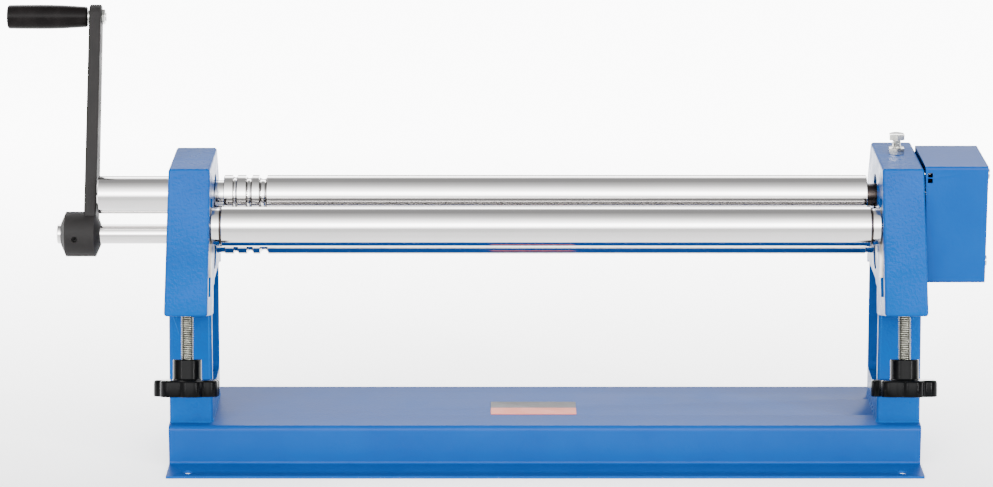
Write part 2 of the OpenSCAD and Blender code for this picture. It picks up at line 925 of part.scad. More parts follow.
function flank_radius(i) = gear_base_r + (gear_tip_r - gear_base_r) * i / flank_steps;

function polar(r, a) = [r * cos(a), r * sin(a)];

function tooth_points(centre) = concat(
    [polar(gear_root_r, centre - half_tooth(gear_base_r))],
    [for (i = [0:flank_steps]) polar(flank_radius(i), centre - half_tooth(flank_radius(i)))],
    [for (i = [flank_steps:-1:0]) polar(flank_radius(i), centre + half_tooth(flank_radius(i)))],
    [polar(gear_root_r, centre + half_tooth(gear_base_r))]);

// A gear with a tooth straight up, its keyway over the key

module pinch_gear() {
    difference() {
        along_x(gear_x, gear_end_x)
            polygon([for (i = [0:gear_teeth - 1], p = tooth_points(90 + 360 * i / gear_teeth)) p]);
        rod_x(gear_x - overrun, gear_end_x + overrun, gear_shaft_dia + 2 * shaft_clearance);
        translate([gear_x - overrun, -key_w / 2, 0])
            cube([gear_w + 2 * overrun, key_w, gear_shaft_dia / 2 - key_in_shaft + key_h]);
    }
}

// The sleeve stands off the left head, and the crank stands off the sleeve
sleeve_gap = 3;
sleeve_in_x = head_outer(top_z) + sleeve_gap;
sleeve_out_x = sleeve_in_x + sleeve_len;
crank_hub_x = sleeve_out_x + crank_gap;

// Drive roll with its gear and the crank
crank_shaft_out = 3.5;
crank_hub_boss = 3.5;
crank_hub_taper = 4.7;
crank_hub_face_dia = 22;
hub_in_x = crank_hub_x - crank_hub_boss;
hub_end_x = crank_hub_x + crank_hub_len;
crank_tip_x = hub_end_x + crank_shaft_out;
drive_collar_inset = 1;
drive_collar_r = roll_r - drive_collar_inset;
drive_journal_end = head_outer(drive_z) + shaft_shoulder;

module drive_roll() {
    color("gainsboro")
        translate([0, pinch_y, drive_z])
            difference() {
                turned(concat(
                    [[-crank_tip_x, crank_shaft_dia / 2 - end_chamfer],
                        [-crank_tip_x + end_chamfer, crank_shaft_dia / 2],
                        [-drive_journal_end, crank_shaft_dia / 2],
                        [-drive_journal_end, drive_journal_dia / 2],
                        [-collar_end, drive_journal_dia / 2],
                        [-collar_end, drive_collar_r - end_chamfer],
                        [-collar_end + end_chamfer, drive_collar_r],
                        [-roll_half, drive_collar_r],
                        [-roll_half, roll_r - end_chamfer],
                        [-roll_half + end_chamfer, roll_r],
                        [roll_half - end_chamfer, roll_r],
                        [roll_half, roll_r - end_chamfer],
                        [roll_half, drive_collar_r],
                        [collar_end - end_chamfer, drive_collar_r],
                        [collar_end, drive_collar_r - end_chamfer],
                        [collar_end, drive_journal_dia / 2]],
                    gear_end_outline(drive_journal_dia)));
                wire_groove_cut();
                gear_end_cuts();
                translate([-set_screw_x, 0, 0])
                    rotate([crank_set_turn, 0, 0])
                        translate([0, 0, crank_shaft_dia / 2 - set_screw_flat])
                            translate([-set_screw_dia, -crank_shaft_dia, 0])
                                cube([2 * set_screw_dia, 2 * crank_shaft_dia, crank_shaft_dia]);
            }
}

module drive_gear() {
    color("slategray")
        translate([0, pinch_y, drive_z])
            pinch_gear();
}

module drive_gear_key() {
    color("silver")
        translate([0, pinch_y, drive_z])
            gear_key();
}

module drive_gear_screw() {
    color("silver")
        translate([0, pinch_y, drive_z])
            gear_end_screw();
}

// Crank: its set screw faces the operator, so it turns about X from straight up by this angle
set_screw_inset = 14.5;
set_screw_x = hub_end_x - set_screw_inset;
crank_set_turn = 90;
set_screw_flat = 1;
arm_x = crank_hub_x + crank_arm_t;

// Places the crank's children with the arm straight up, then leans it back
module crank_frame() {
    translate([0, pinch_y, drive_z])
        rotate([-crank_lean, 0, 0])
            children();
}

module crank_hub() {
    color("dimgray")
        translate([0, pinch_y, drive_z])
            difference() {
                turned([[-hub_end_x, crank_hub_face_dia / 2],
                    [-hub_end_x + crank_hub_taper, crank_hub_dia / 2],
                    [-hub_in_x - crank_hub_taper, crank_hub_dia / 2],
                    [-hub_in_x, crank_hub_face_dia / 2]]);
                rod_x(-hub_end_x - overrun, -hub_in_x + overrun,
                    crank_shaft_dia + 2 * shaft_clearance);
                translate([-set_screw_x, 0, 0])
                    rotate([crank_set_turn, 0, 0])
                        cylinder(h = crank_hub_dia, d = set_screw_dia + 2 * thread_clearance);
            }
}

// The arm tapers from the hub to the grip; it is cut to seat round the hub
module crank_arm() {
    color("dimgray")
        crank_frame()
            difference() {
                along_x(-arm_x, -crank_hub_x)
                    arm_outline();
                rod_x(-arm_x - overrun, -crank_hub_x + overrun, crank_hub_dia);
                translate([0, 0, crank_len])
                    rod_x(-arm_x - overrun, -crank_hub_x + overrun, spindle_dia + 2 * thread_clearance);
            }
}

// Plan of the arm: straight sides tangent to a round end at the grip
module arm_outline() {
    grip_r = crank_arm_w_grip / 2;
    hub_r = crank_arm_w_hub / 2;
    lean = asin((hub_r - grip_r) / crank_len);
    polygon([[hub_r * cos(lean), hub_r * sin(lean)],
        [grip_r * cos(lean), crank_len + grip_r * sin(lean)],
        [-grip_r * cos(lean), crank_len + grip_r * sin(lean)],
        [-hub_r * cos(lean), hub_r * sin(lean)]]);
    translate([0, crank_len])
        circle(grip_r);
}

module crank_set_screw() {
    color("black")
        translate([-set_screw_x, pinch_y, drive_z])
            rotate([crank_set_turn, 0, 0])
                translate([0, 0, crank_shaft_dia / 2 - set_screw_flat])
                    difference() {
                        cylinder(h = set_screw_len, d = set_screw_dia);
                        translate([0, 0, set_screw_len / 2])
                            linear_extrude(set_screw_len)
                                hexagon(set_screw_dia / 2);
                    }
}

// Spindle with a flange against the arm, its thread through the arm to the nut
grip_in_x = arm_x + grip_gap;
grip_out_x = grip_in_x + grip_len;

module grip_spindle() {
    color("silver")
        crank_frame()
            translate([0, 0, crank_len]) {
                rod_x(-grip_out_x + grip_cap_len, -crank_hub_x + grip_nut_h + overrun, spindle_dia);
                rod_x(-arm_x - spindle_collar_h, -arm_x, spindle_collar_dia);
            }
}

module grip_nut() {
    color("silver")
        crank_frame()
            translate([0, 0, crank_len])
                difference() {
                    along_x(-crank_hub_x, -crank_hub_x + grip_nut_h)
                        hexagon(grip_nut_af);
                    rod_x(-crank_hub_x - overrun, -crank_hub_x + grip_nut_h + overrun,
                        spindle_dia + 2 * thread_clearance);
                }
}

// Barrel grip, its outline a smooth swell from the inner end to the outer end
grip_swell_shares = [[0, 0], [0.12, 0.42], [0.3, 0.8], [0.5, 1], [0.72, 0.98], [0.9, 0.84], [1, 0.62]];
grip_end_r = 1.5;

module crank_grip() {
    color("black")
        crank_frame()
            translate([0, 0, crank_len])
                difference() {
                    turned(concat(
                        [[-grip_out_x, grip_inner_dia / 2 - grip_end_r]],
                        [for (i = [len(grip_swell_shares) - 1:-1:0])
                            [-grip_in_x - grip_end_r
                                - (grip_len - 2 * grip_end_r) * grip_swell_shares[i][0],
                                grip_inner_dia / 2
                                    + (grip_dia - grip_inner_dia) / 2 * grip_swell_shares[i][1]]],
                        [[-grip_in_x, grip_inner_dia / 2 - grip_end_r]]));
                    rod_x(-grip_out_x + grip_cap_len - grip_gap, -grip_in_x + overrun,
                        spindle_dia + 2 * grip_bore_clearance);
                }
}

// Top roll with its gear and the sleeve on its left end
top_neck_left_dia = 28;
top_neck_len = 8;
sleeve_dia = 36;
sleeve_shaft_dia = 20;
sleeve_cap = 5;

module top_roll() {
    color("gainsboro")
        translate([0, pinch_y, top_z])
            difference() {
                turned(concat(
                    [[-sleeve_out_x + sleeve_cap, sleeve_shaft_dia / 2 - end_chamfer],
                        [-sleeve_out_x + sleeve_cap + end_chamfer, sleeve_shaft_dia / 2],
                        [-sleeve_in_x, sleeve_shaft_dia / 2],
                        [-sleeve_in_x, top_left_journal_dia / 2],
                        [-roll_half - top_neck_len, top_left_journal_dia / 2],
                        [-roll_half - top_neck_len, top_neck_left_dia / 2],
                        [-roll_half, top_neck_left_dia / 2],
                        [-roll_half, roll_r - end_chamfer],
                        [-roll_half + end_chamfer, roll_r],
                        [roll_half - end_chamfer, roll_r],
                        [roll_half, roll_r - end_chamfer],
                        [roll_half, top_right_journal_dia / 2]],
                    gear_end_outline(top_right_journal_dia)));
                wire_groove_cut();
                gear_end_cuts();
            }
}

module top_gear() {
    color("slategray")
        translate([0, pinch_y, top_z])
            pinch_gear();
}

module top_gear_key() {
    color("silver")
        translate([0, pinch_y, top_z])
            gear_key();
}

module top_gear_screw() {
    color("silver")
        translate([0, pinch_y, top_z])
            gear_end_screw();
}

sleeve_screw_x = (sleeve_in_x + sleeve_out_x) / 2;

module top_roll_sleeve() {
    color("silver")
        translate([0, pinch_y, top_z])
            difference() {
                turned([[-sleeve_out_x, sleeve_dia / 2 - 2 * end_chamfer],
                    [-sleeve_out_x + 2 * end_chamfer, sleeve_dia / 2],
                    [-sleeve_in_x - end_chamfer, sleeve_dia / 2],
                    [-sleeve_in_x, sleeve_dia / 2 - end_chamfer]]);
                rod_x(-sleeve_out_x + sleeve_cap - overrun, -sleeve_in_x + overrun,
                    sleeve_shaft_dia + 2 * shaft_clearance);
                translate([-sleeve_screw_x, 0, 0])
                    rotate([-crank_set_turn, 0, 0])
                        cylinder(h = sleeve_dia, d = set_screw_dia + 2 * thread_clearance);
            }
}

module sleeve_set_screw() {
    color("black")
        translate([-sleeve_screw_x, pinch_y, top_z])
            rotate([-crank_set_turn, 0, 0])
                translate([0, 0, sleeve_shaft_dia / 2 + shaft_clearance])
                    cylinder(h = sleeve_dia / 2 - sleeve_shaft_dia / 2 - overrun, d = set_screw_dia);
}

base();
left_end_frame();
right_end_frame();
left_frame_bolts();
right_frame_bolts();
left_drive_bearing();
right_drive_bearing();
left_top_bearing();
right_top_bearing();
top_adjust_bolt();
top_lock_nut();
gear_cover();
cover_posts();
cover_screws();
left_bending_bearing();
right_bending_bearing();
bending_roll();
left_height_knob();
right_height_knob();
left_height_screw();
right_height_screw();
drive_roll();
drive_gear();
drive_gear_key();
drive_gear_screw();
crank_hub();
crank_arm();
crank_set_screw();
grip_spindle();
grip_nut();
crank_grip();
top_roll();
top_gear();
top_gear_key();
top_gear_screw();
top_roll_sleeve();
sleeve_set_screw();
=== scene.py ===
"""Looks of the bench slip roll: rolls, castings, sheet parts, knobs, crank and the studio round them."""

import logging
import math
from dataclasses import dataclass, field
from enum import Enum
from typing import Callable, Iterable

import bmesh
import bpy
from mathutils import Matrix, Vector


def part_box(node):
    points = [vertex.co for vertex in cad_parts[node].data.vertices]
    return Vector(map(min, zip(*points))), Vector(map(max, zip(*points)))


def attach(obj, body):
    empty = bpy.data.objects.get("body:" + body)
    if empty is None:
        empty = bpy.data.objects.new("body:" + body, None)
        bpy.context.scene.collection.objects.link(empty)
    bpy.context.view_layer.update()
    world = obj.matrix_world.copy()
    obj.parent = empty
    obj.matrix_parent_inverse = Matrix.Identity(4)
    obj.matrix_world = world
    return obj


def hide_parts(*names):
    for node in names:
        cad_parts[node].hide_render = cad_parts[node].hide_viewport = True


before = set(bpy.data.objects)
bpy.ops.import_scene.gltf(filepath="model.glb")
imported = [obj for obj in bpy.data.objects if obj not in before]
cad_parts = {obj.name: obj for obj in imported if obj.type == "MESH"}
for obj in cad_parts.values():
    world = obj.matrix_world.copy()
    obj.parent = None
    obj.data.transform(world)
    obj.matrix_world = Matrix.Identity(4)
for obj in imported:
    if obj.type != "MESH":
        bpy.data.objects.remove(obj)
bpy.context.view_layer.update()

log = logging.getLogger("slip_roll")

Point = tuple[float, float]
Span = tuple[float, float]
Triple = tuple[float, float, float]
Colour = tuple[float, float, float]
# Number of blobs in a metre, octaves of finer noise on them and the strength of these
Noise = tuple[float, float, float]
# Depth of a full step in metres, and the share of it that shows
Relief = tuple[float, float]
Socket = bpy.types.NodeSocket
Inputs = dict[str | int, object]
Finish = bpy.types.Material
Piece = bpy.types.Object
Shape = bmesh.types.BMesh
Edge = bmesh.types.BMEdge

MM = 0.001
ORIGIN = Vector((0.0, 0.0, 0.0))
# Angle past which an edge stays sharp in shading
SHARP_DEG = 32.0
# Vertices that lie closer than this are merged
MERGE = 1e-6
# Most values of a noise texture lie in this span
MIDRANGE: Span = (0.3, 0.7)
# Match of a rounded normal with the true one at full wear of an edge, and where the wear ends
WEAR: Span = (0.93, 0.985)


class Axis(Enum):
    """Axes that a turned piece can be spun about."""

    X = (1.0, 0.0, 0.0)
    Z = (0.0, 0.0, 1.0)


class ShaderTree:
    """Lays the nodes of one shader tree and links them."""

    def __init__(self, tree: bpy.types.NodeTree) -> None:
        """Start from an empty tree."""
        tree.nodes.clear()
        self.tree = tree

    def feed(self, node: bpy.types.Node, inputs: Inputs) -> None:
        """Link or set a node's inputs.

        Args:
            node: The node.
            inputs: For each input, the socket that is linked to it or the value that is set on it.
        """
        for key, value in inputs.items():
            if isinstance(value, Socket):
                self.tree.links.new(value, node.inputs[key])
            else:
                node.inputs[key].default_value = value

    def node(self, kind: str, inputs: Inputs | None = None, **settings: object) -> bpy.types.Node:
        """Add a node with its settings and inputs.

        Args:
            kind: The node's type, without the words that all shader nodes start with.
            inputs: Sockets and values for its inputs.
            settings: Values of its own properties.

        Returns:
            The node.
        """
        node = self.tree.nodes.new("ShaderNode" + kind)
        for name, value in settings.items():
            setattr(node, name, value)
        self.feed(node, inputs or {})
        return node

    def maths(self, operation: str, *values: Socket | float) -> Socket:
        """Work out one operation on a few values."""
        return self.node("Math", dict(enumerate(values)), operation=operation).outputs["Value"]

    def plus(self, base: Socket, extra: Socket, share: float) -> Socket:
        """Add a share of a second value to a first."""
        return self.maths("MULTIPLY_ADD", extra, share, base)

    def ramp(self, value: Socket, span: Span, to: Span = (0.0, 1.0)) -> Socket:
        """Map a value from one span to another and clamp it.

        Args:
            value: The value.
            span: The values that give the two ends of the result.
            to: The ends of the result.

        Returns:
            The mapped value.
        """
        inputs = {"Value": value, "From Min": span[0], "From Max": span[1], "To Min": to[0], "To Max": to[1]}
        return self.node("MapRange", inputs).outputs["Result"]


class MaterialSketch(ShaderTree):
    """Lays the nodes of one material round its Principled shader."""

    def __init__(self, name: str) -> None:
        """Start a material that reads the piece's own coordinates.

        Args:
            name: The material's name.
        """
        self.material = bpy.data.materials.new(name)
        self.material.use_nodes = True
        super().__init__(self.material.node_tree)
        self.shader = self.node("BsdfPrincipled")
        self.node("OutputMaterial", {"Surface": self.shader.outputs["BSDF"]})
        self.coords = self.node("TexCoord").outputs["Object"]

    def depth(self) -> Socket:
        """Give the place along Y."""
        return self.node("SeparateXYZ", {"Vector": self.coords}).outputs["Y"]

    def noise(self, blobs: Noise, squeeze: Triple | None = None) -> Socket:
        """Add a noise texture.

        Args:
            blobs: Number, octaves and their strength.
            squeeze: Factors on the number along X, Y and Z.

        Returns:
            The noise's grey value.
        """
        where = self.coords
        if squeeze:
            where = self.node("Mapping", {"Vector": where, "Scale": squeeze}).outputs["Vector"]
        scale, detail, rough = blobs
        inputs = {"Vector": where, "Scale": scale, "Detail": detail, "Roughness": rough}
        return self.node("TexNoise", inputs).outputs["Fac"]

    def mix(self, value: Socket, first: Colour | Socket, second: Colour) -> Socket:
        """Blend two colours.

        Args:
            value: 0 gives the first colour and 1 the second.
            first: The first colour, or a socket that gives it.
            second: The second colour.

        Returns:
            The blended colour.
        """
        start = first if isinstance(first, Socket) else (*first, 1.0)
        inputs = {"Factor": value, "A": start, "B": (*second, 1.0)}
        return self.node("Mix", inputs, data_type="RGBA").outputs["Result"]

    def bump(self, height: Socket, relief: Relief) -> Socket:
        """Turn a grey height into a normal."""
        inputs = {"Height": height, "Distance": relief[0], "Strength": relief[1]}
        return self.node("Bump", inputs).outputs["Normal"]

    def edge_wear(self, radius: float) -> Socket:
        """Find edges by comparing a rounded normal with the true one.

        Args:
            radius: Reach of the wear from the edge, in metres.

        Returns:
            0 on flats, 1 on worn edges.
        """
        rounded = self.node("Bevel", {"Radius": radius}, samples=4).outputs["Normal"]
        true = self.node("NewGeometry").outputs["Normal"]
        match = self.node("VectorMath", {0: rounded, 1: true}, operation="DOT_PRODUCT").outputs["Value"]
        return self.ramp(match, WEAR, (1.0, 0.0))

    def finish(self, inputs: Inputs) -> Finish:
        """Feed the shader and give the material."""
        self.feed(self.shader, inputs)
        return self.material


@dataclass(frozen=True)
class HammeredPaint:
    """Blue enamel with the shallow dimples of hammered paint on cast iron."""

    name: str = "blue_hammered_enamel"
    deep: Colour = (0.0, 0.035, 0.158)
    light: Colour = (0.0, 0.042, 0.182)
    # Paler blue on the edges: partly wear, partly a painted highlight on the rounded cast edges
    wear_and_edge_highlight: Colour = (0.006, 0.10, 0.33)
    rough: Span = (0.25, 0.38)
    specular: float = 0.05
    dimples: Noise = (330.0, 2.0, 0.45)
    dimple_span: Span = (0.35, 0.68)
    lumps: Noise = (55.0, 2.0, 0.5)
    lump_share: float = 0.6
    patches: Noise = (330.0 / 14, 2.0, 0.5)
    relief: Relief = (0.9 * MM, 0.2)
    wear_reach: float = 1.2 * MM

    def build(self) -> Finish:
        """Lay the paint's dimples, lumps, patches and worn edges, the edges lightened partly as a painted
        highlight.

        Returns:
            The material.
        """
        sketch = MaterialSketch(self.name)
        lumps = sketch.noise(self.lumps)
        dimples = sketch.ramp(sketch.noise(self.dimples), self.dimple_span)
        tone = sketch.mix(sketch.ramp(sketch.noise(self.patches), MIDRANGE), self.deep, self.light)
        return sketch.finish({
            # Edges lighten: partly wear, partly a painted edge highlight
            "Base Color": sketch.mix(sketch.edge_wear(self.wear_reach), tone, self.wear_and_edge_highlight),
            "Roughness": sketch.ramp(lumps, MIDRANGE, self.rough),
            "Specular IOR Level": self.specular,
            "Normal": sketch.bump(sketch.plus(dimples, lumps, self.lump_share), self.relief),
        })


@dataclass(frozen=True)
class SheetPaint:
    """Smooth blue enamel on bent sheet, with a faint orange peel."""

    name: str = "blue_sheet_enamel"
    deep: Colour = (0.0, 0.031, 0.150)
    light: Colour = (0.0, 0.035, 0.162)
    rough: Span = (0.28, 0.38)
    rough_span: Span = (0.25, 0.75)
    specular: float = 0.09
    peel: Noise = (420.0, 1.0, 0.4)
    waves: Noise = (21.0, 2.0, 0.5)
    wave_share: float = 0.4
    relief: Relief = (0.25 * MM, 0.3)

    def build(self) -> Finish:
        """Lay the paint's peel and its slow waves.

        Returns:
            The material.
        """
        sketch = MaterialSketch(self.name)
        waves = sketch.noise(self.waves)
        height = sketch.plus(sketch.noise(self.peel), waves, self.wave_share)
        return sketch.finish({
            "Base Color": sketch.mix(sketch.ramp(waves, MIDRANGE), self.deep, self.light),
            "Roughness": sketch.ramp(waves, self.rough_span, self.rough),
            "Specular IOR Level": self.specular,
            "Normal": sketch.bump(height, self.relief),
        })


@dataclass(frozen=True)
class GroundSteel:
    """Ground and polished steel with fine rings from the grinding wheel along X."""

    name: str = "ground_roll_steel"
    bright: Colour = (0.66, 0.645, 0.64)
    dull: Colour = (0.57, 0.555, 0.55)
    rough: Span = (0.07, 0.13)
    rough_span: Span = (0.3, 0.75)
    rings: Noise = (1.0, 3.0, 0.7)
    ring_squeeze: Triple = (2600.0, 18.0, 18.0)
    ring_share: float = 0.3
    clouds: Noise = (26.0, 3.0, 0.6)
    cloud_squeeze: Triple = (0.5, 1.0, 1.0)
    relief: Relief = (0.008 * MM, 0.5)

    def build(self) -> Finish:
        """Lay the grinding rings and the cloudy polish.

        Returns:
            The material.
        """
        sketch = MaterialSketch(self.name)
        rings = sketch.noise(self.rings, self.ring_squeeze)
        clouds = sketch.noise(self.clouds, self.cloud_squeeze)
        tone = sketch.plus(clouds, rings, self.ring_share)
        return sketch.finish({
            "Base Color": sketch.mix(tone, self.bright, self.dull),
            "Roughness": sketch.ramp(clouds, self.rough_span, self.rough),
            "Metallic": 1.0,
            "Normal": sketch.bump(rings, self.relief),
        })


@dataclass(frozen=True)
class SatinEnamel:
    """Dark grey enamel on the forged crank, with a fine sand texture."""

    name: str = "crank_satin_enamel"
    colour: Colour = (0.0055, 0.005, 0.005)
    light: Colour = (0.013, 0.012, 0.0118)
    rough: Span = (0.56, 0.72)
    specular: float = 0.12
    sand: Noise = (1500.0, 2.0, 0.55)
    relief: Relief = (0.16 * MM, 0.3)
    patches: Noise = (50.0, 3.0, 0.5)
    patch_tones: Span = (0.0, 0.7)
    wear_reach: float = 0.8 * MM
    wear_share: float = 0.8

    def build(self) -> Finish:
        """Lay the enamel's sand, patches and worn edges.

        Returns:
            The material.
        """
        sketch = MaterialSketch(self.name)
        patches = sketch.noise(self.patches)
        tone = sketch.plus(sketch.ramp(patches, MIDRANGE, self.patch_tones),
                           sketch.edge_wear(self.wear_reach), self.wear_share)
        return sketch.finish({
            "Base Color": sketch.mix(tone, self.colour, self.light),
            "Roughness": sketch.ramp(patches, MIDRANGE, self.rough),
            "Specular IOR Level": self.specular,
            "Normal": sketch.bump(sketch.noise(self.sand), self.relief),
        })


@dataclass(frozen=True)
class MottledFinish:
    """What the next three finishes share: a fine grain, and patches that colour and gloss follow."""

    name: str
    first: Colour
    second: Colour
    rough: Span
    grain: Noise
    relief: Relief
    patches: Noise
    squeeze: Triple | None = None
    tone_span: Span = MIDRANGE
    rough_span: Span = MIDRANGE
    metallic: float = 1.0
    specular: float = 0.5

    def build(self) -> Finish:
        """Lay the grain and the patches.

        Returns:
            The material.
        """
        sketch = MaterialSketch(self.name)
        patches = sketch.noise(self.patches)
        return sketch.finish({
            "Base Color": sketch.mix(sketch.ramp(patches, self.tone_span), self.first, self.second),
            "Roughness": sketch.ramp(patches, self.rough_span, self.rough),
            "Metallic": self.metallic,
            "Specular IOR Level": self.specular,
            "Normal": sketch.bump(sketch.noise(self.grain, self.squeeze), self.relief),
        })


@dataclass(frozen=True)
class PlatedSteel(MottledFinish):
    """Zinc-plated steel of screws, bolts and nuts, with dull stains."""

    name: str = "zinc_plate"
    first: Colour = (0.66, 0.66, 0.63)
    second: Colour = (0.36, 0.36, 0.34)
    rough: Span = (0.14, 0.26)
    grain: Noise = (2600.0, 2.0, 0.5)
    relief: Relief = (0.03 * MM, 0.4)
    patches: Noise = (260.0, 4.0, 0.6)
    tone_span: Span = (0.35, 0.7)


@dataclass(frozen=True)
class OiledSteel(MottledFinish):
    """Dark machined steel or iron under a film of oil, for gears and bearing blocks."""

    rough: Span = (0.26, 0.46)
    grain: Noise = (1140.0, 3.0, 0.6)
    relief: Relief = (0.05 * MM, 0.5)
    patches: Noise = (47.5, 3.0, 0.55)
    squeeze: Triple = (0.3, 1.0, 3.0)


@dataclass(frozen=True)
class MouldedPlastic(MottledFinish):
    """Black moulded plastic with soft handling marks."""

    first: Colour = (0.0010, 0.0011, 0.0013)
    second: Colour = (0.0030, 0.0030, 0.0032)
    rough: Span = (0.09, 0.28)
    grain: Noise = (900.0, 2.0, 0.5)
    relief: Relief = (0.06 * MM, 0.35)
    patches: Noise = (900.0 / 22, 4.0, 0.6)
    tone_span: Span = (0.45, 0.75)
    rough_span: Span = (0.3, 0.75)
    metallic: float = 0.0
    specular: float = 0.035


@dataclass(frozen=True)
class TwoTonePlate:
    """The blank plate's print: a grey rear half and a warm red front half under a satin varnish."""

    name: str = "blank_two_tone_plate"
    rear: Colour = (0.040, 0.040, 0.046)
    front: Colour = (0.40, 0.085, 0.045)
    split: Span = (-9.1 * MM, -8.9 * MM)
    rough: Span = (0.28, 0.42)
    specular: float = 0.25
    ink: Noise = (60.0, 3.0, 0.5)

    def build(self) -> Finish:
        """Lay the two halves and the varnish.

        Returns:
            The material.
        """
        sketch = MaterialSketch(self.name)
        return sketch.finish({
            "Base Color": sketch.mix(sketch.ramp(sketch.depth(), self.split), self.front, self.rear),
            "Roughness": sketch.ramp(sketch.noise(self.ink), MIDRANGE, self.rough),
            "Specular IOR Level": self.specular,
        })


@dataclass(frozen=True)
class PaperWhite:
    """White paper under the machine that glows as painted light, painted dimmer towards the operator as
    painted shade.
    """

    name: str = "studio_paper"
    # Paper colour at the front, darkened there as painted shade
    painted_shade_grey: Colour = (0.40, 0.40, 0.40)
    bright: Colour = (0.88, 0.88, 0.88)
    # Stretch along Y where the painted shade changes, and the shade levels there; then the same for the
    # painted glow
    tone_span: Span = (-1.0, -0.16)
    painted_shade_levels: Span = (0.0, 0.97)
    painted_glow_span: Span = (-0.15, 1.3)
    painted_glow: Span = (0.5, 8.0)
    fibres: Noise = (6.0, 2.0, 0.5)
    fibre_share: float = 0.015
    rough: float = 0.9
    specular: float = 0.1

    def build(self) -> Finish:
        """Lay the paper's painted shade and its painted glow.

        Returns:
            The material.
        """
        sketch = MaterialSketch(self.name)
        depth = sketch.depth()
        # Painted shade: the paper goes darker towards the operator, with faint random fibres
        tone = sketch.ramp(depth, self.tone_span, self.painted_shade_levels)
        tone = sketch.plus(tone, sketch.noise(self.fibres), self.fibre_share)
        return sketch.finish({
            "Base Color": sketch.mix(tone, self.painted_shade_grey, self.bright),
            "Roughness": self.rough,
            "Specular IOR Level": self.specular,
            # Painted light: the paper glows, brighter towards the back
            "Emission Color": (1.0, 1.0, 1.0, 1.0),
            "Emission Strength": sketch.ramp(depth, self.painted_glow_span, self.painted_glow),
        })


def smooth(mesh: bpy.types.Mesh, sharp_deg: float = SHARP_DEG) -> None:
    """Shade a mesh smooth but keep the edges sharper than an angle.

    Args:
        mesh: The mesh to shade.
        sharp_deg: Angle past which an edge stays sharp.
    """
    for polygon in mesh.polygons:
        polygon.use_smooth = True
    mesh.set_sharp_from_angle(angle=math.radians(sharp_deg))


def in_scene(name: str, data: bpy.types.ID) -> Piece:
    """Put an object with the given data into the scene.

    Args:
        name: The object's name.
        data: Its mesh, light or camera.

    Returns:
        The new object.
    """
    thing = bpy.data.objects.new(name, data)
    bpy.context.scene.collection.objects.link(thing)
    return thing


def finished(bm: Shape, name: str, finish: Finish) -> Piece:
    """Turn a bmesh into a finished object at the origin.

    Args:
        bm: The modelled shape, in metres and in place.
        name: The piece's name.
        finish: Its finish.

    Returns:
        The new object.
    """
    bmesh.ops.remove_doubles(bm, verts=bm.verts, dist=MERGE)
    bmesh.ops.recalc_face_normals(bm, faces=bm.faces)
    mesh = bpy.data.meshes.new(name)
    bm.to_mesh(mesh)
    bm.free()
    smooth(mesh)
    mesh.materials.append(finish)
    log.info("%s: %d faces", name, len(mesh.polygons))
    return in_scene(name, mesh)


def spun(outline: Iterable[Point], axis: Axis, middle: Vector, steps: int) -> Shape:
    """Spin an outline of (along, radius) points about an axis.

    Args:
        outline: Points from one end to the other, the first and last on the axis.
        axis: Direction of the axis.
        middle: A point on the axis that along is counted from.
        steps: Facets round the axis.

    Returns:
        A bmesh of the closed turned shape.
    """
    bm = bmesh.new()
    ahead = Vector(axis.value)
    out = Vector(Axis.Z.value if axis is Axis.X else Axis.X.value)
    verts = [bm.verts.new(middle + ahead * along + out * radius) for along, radius in outline]
    edges = [bm.edges.new(pair) for pair in zip(verts, verts[1:])]
    bmesh.ops.spin(bm, geom=verts + edges, cent=middle, axis=ahead, angle=math.tau, steps=steps,
                   use_merge=True, use_duplicate=False)
    bmesh.ops.remove_doubles(bm, verts=bm.verts, dist=MERGE)
    return bm


def arc(centre: Point, radius: float, start_deg: float, end_deg: float, steps: int) -> list[Point]:
    """Points along an arc, both ends included.

    Args:
        centre: The arc's centre.
        radius: The arc's radius.
        start_deg: Angle of the first point.
        end_deg: Angle of the last point.
        steps: Number of chords.

    Returns:
        The points in order.
    """
    angles = [math.radians(start_deg + (end_deg - start_deg) * i / steps) for i in range(steps + 1)]
    return [(centre[0] + radius * math.cos(a), centre[1] + radius * math.sin(a)) for a in angles]


def prism(outline: list[Vector], along: Vector) -> Shape:
    """Fill a closed outline and pull it along a vector.

    Args:
        outline: Corners in order.
        along: Length and direction of the pull.

    Returns:
        A closed bmesh.
    """
    bm = bmesh.new()
    face = bm.faces.new([bm.verts.new(p) for p in outline])
    pulled = bmesh.ops.extrude_face_region(bm, geom=[face], use_keep_orig=True)
    moved = [g for g in pulled["geom"] if isinstance(g, bmesh.types.BMVert)]
    bmesh.ops.translate(bm, verts=moved, vec=along)
    bmesh.ops.recalc_face_normals(bm, faces=bm.faces)
    return bm


def round_edges(bm: Shape, radius: float, segments: int, choose: Callable[[Edge], bool]) -> None:
    """Bevel the edges that a rule chooses.

    Args:
        bm: The shape.
        radius: Width of the bevel.
        segments: Facets across the bevel.
        choose: Rule that takes an edge and says whether it is rounded.
    """
    edges = [e for e in bm.edges if choose(e)]
    bmesh.ops.bevel(bm, geom=edges, offset=radius, offset_type="OFFSET", affect="EDGES",
                    segments=segments, profile=0.5, material=-1, clamp_overlap=True)


def is_corner(edge: Edge, least_deg: float = 40.0) -> bool:
    """Whether an edge lies between two faces that turn by more than an angle."""
    return len(edge.link_faces) == 2 and edge.calc_face_angle(0.0) > math.radians(least_deg)


def cad_copy(node: str) -> Shape:
    """Copy a CAD node's mesh, merged and with its flat triangles joined.

    Args:
        node: The CAD node's name.

    Returns:
        A bmesh of the node's shape.
    """
    bm = bmesh.new()
    bm.from_mesh(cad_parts[node].data)
    flat = math.radians(0.6)
    bmesh.ops.remove_doubles(bm, verts=bm.verts, dist=2 * MERGE)
    bmesh.ops.dissolve_limit(bm, angle_limit=flat, verts=bm.verts, edges=bm.edges)
    return bm


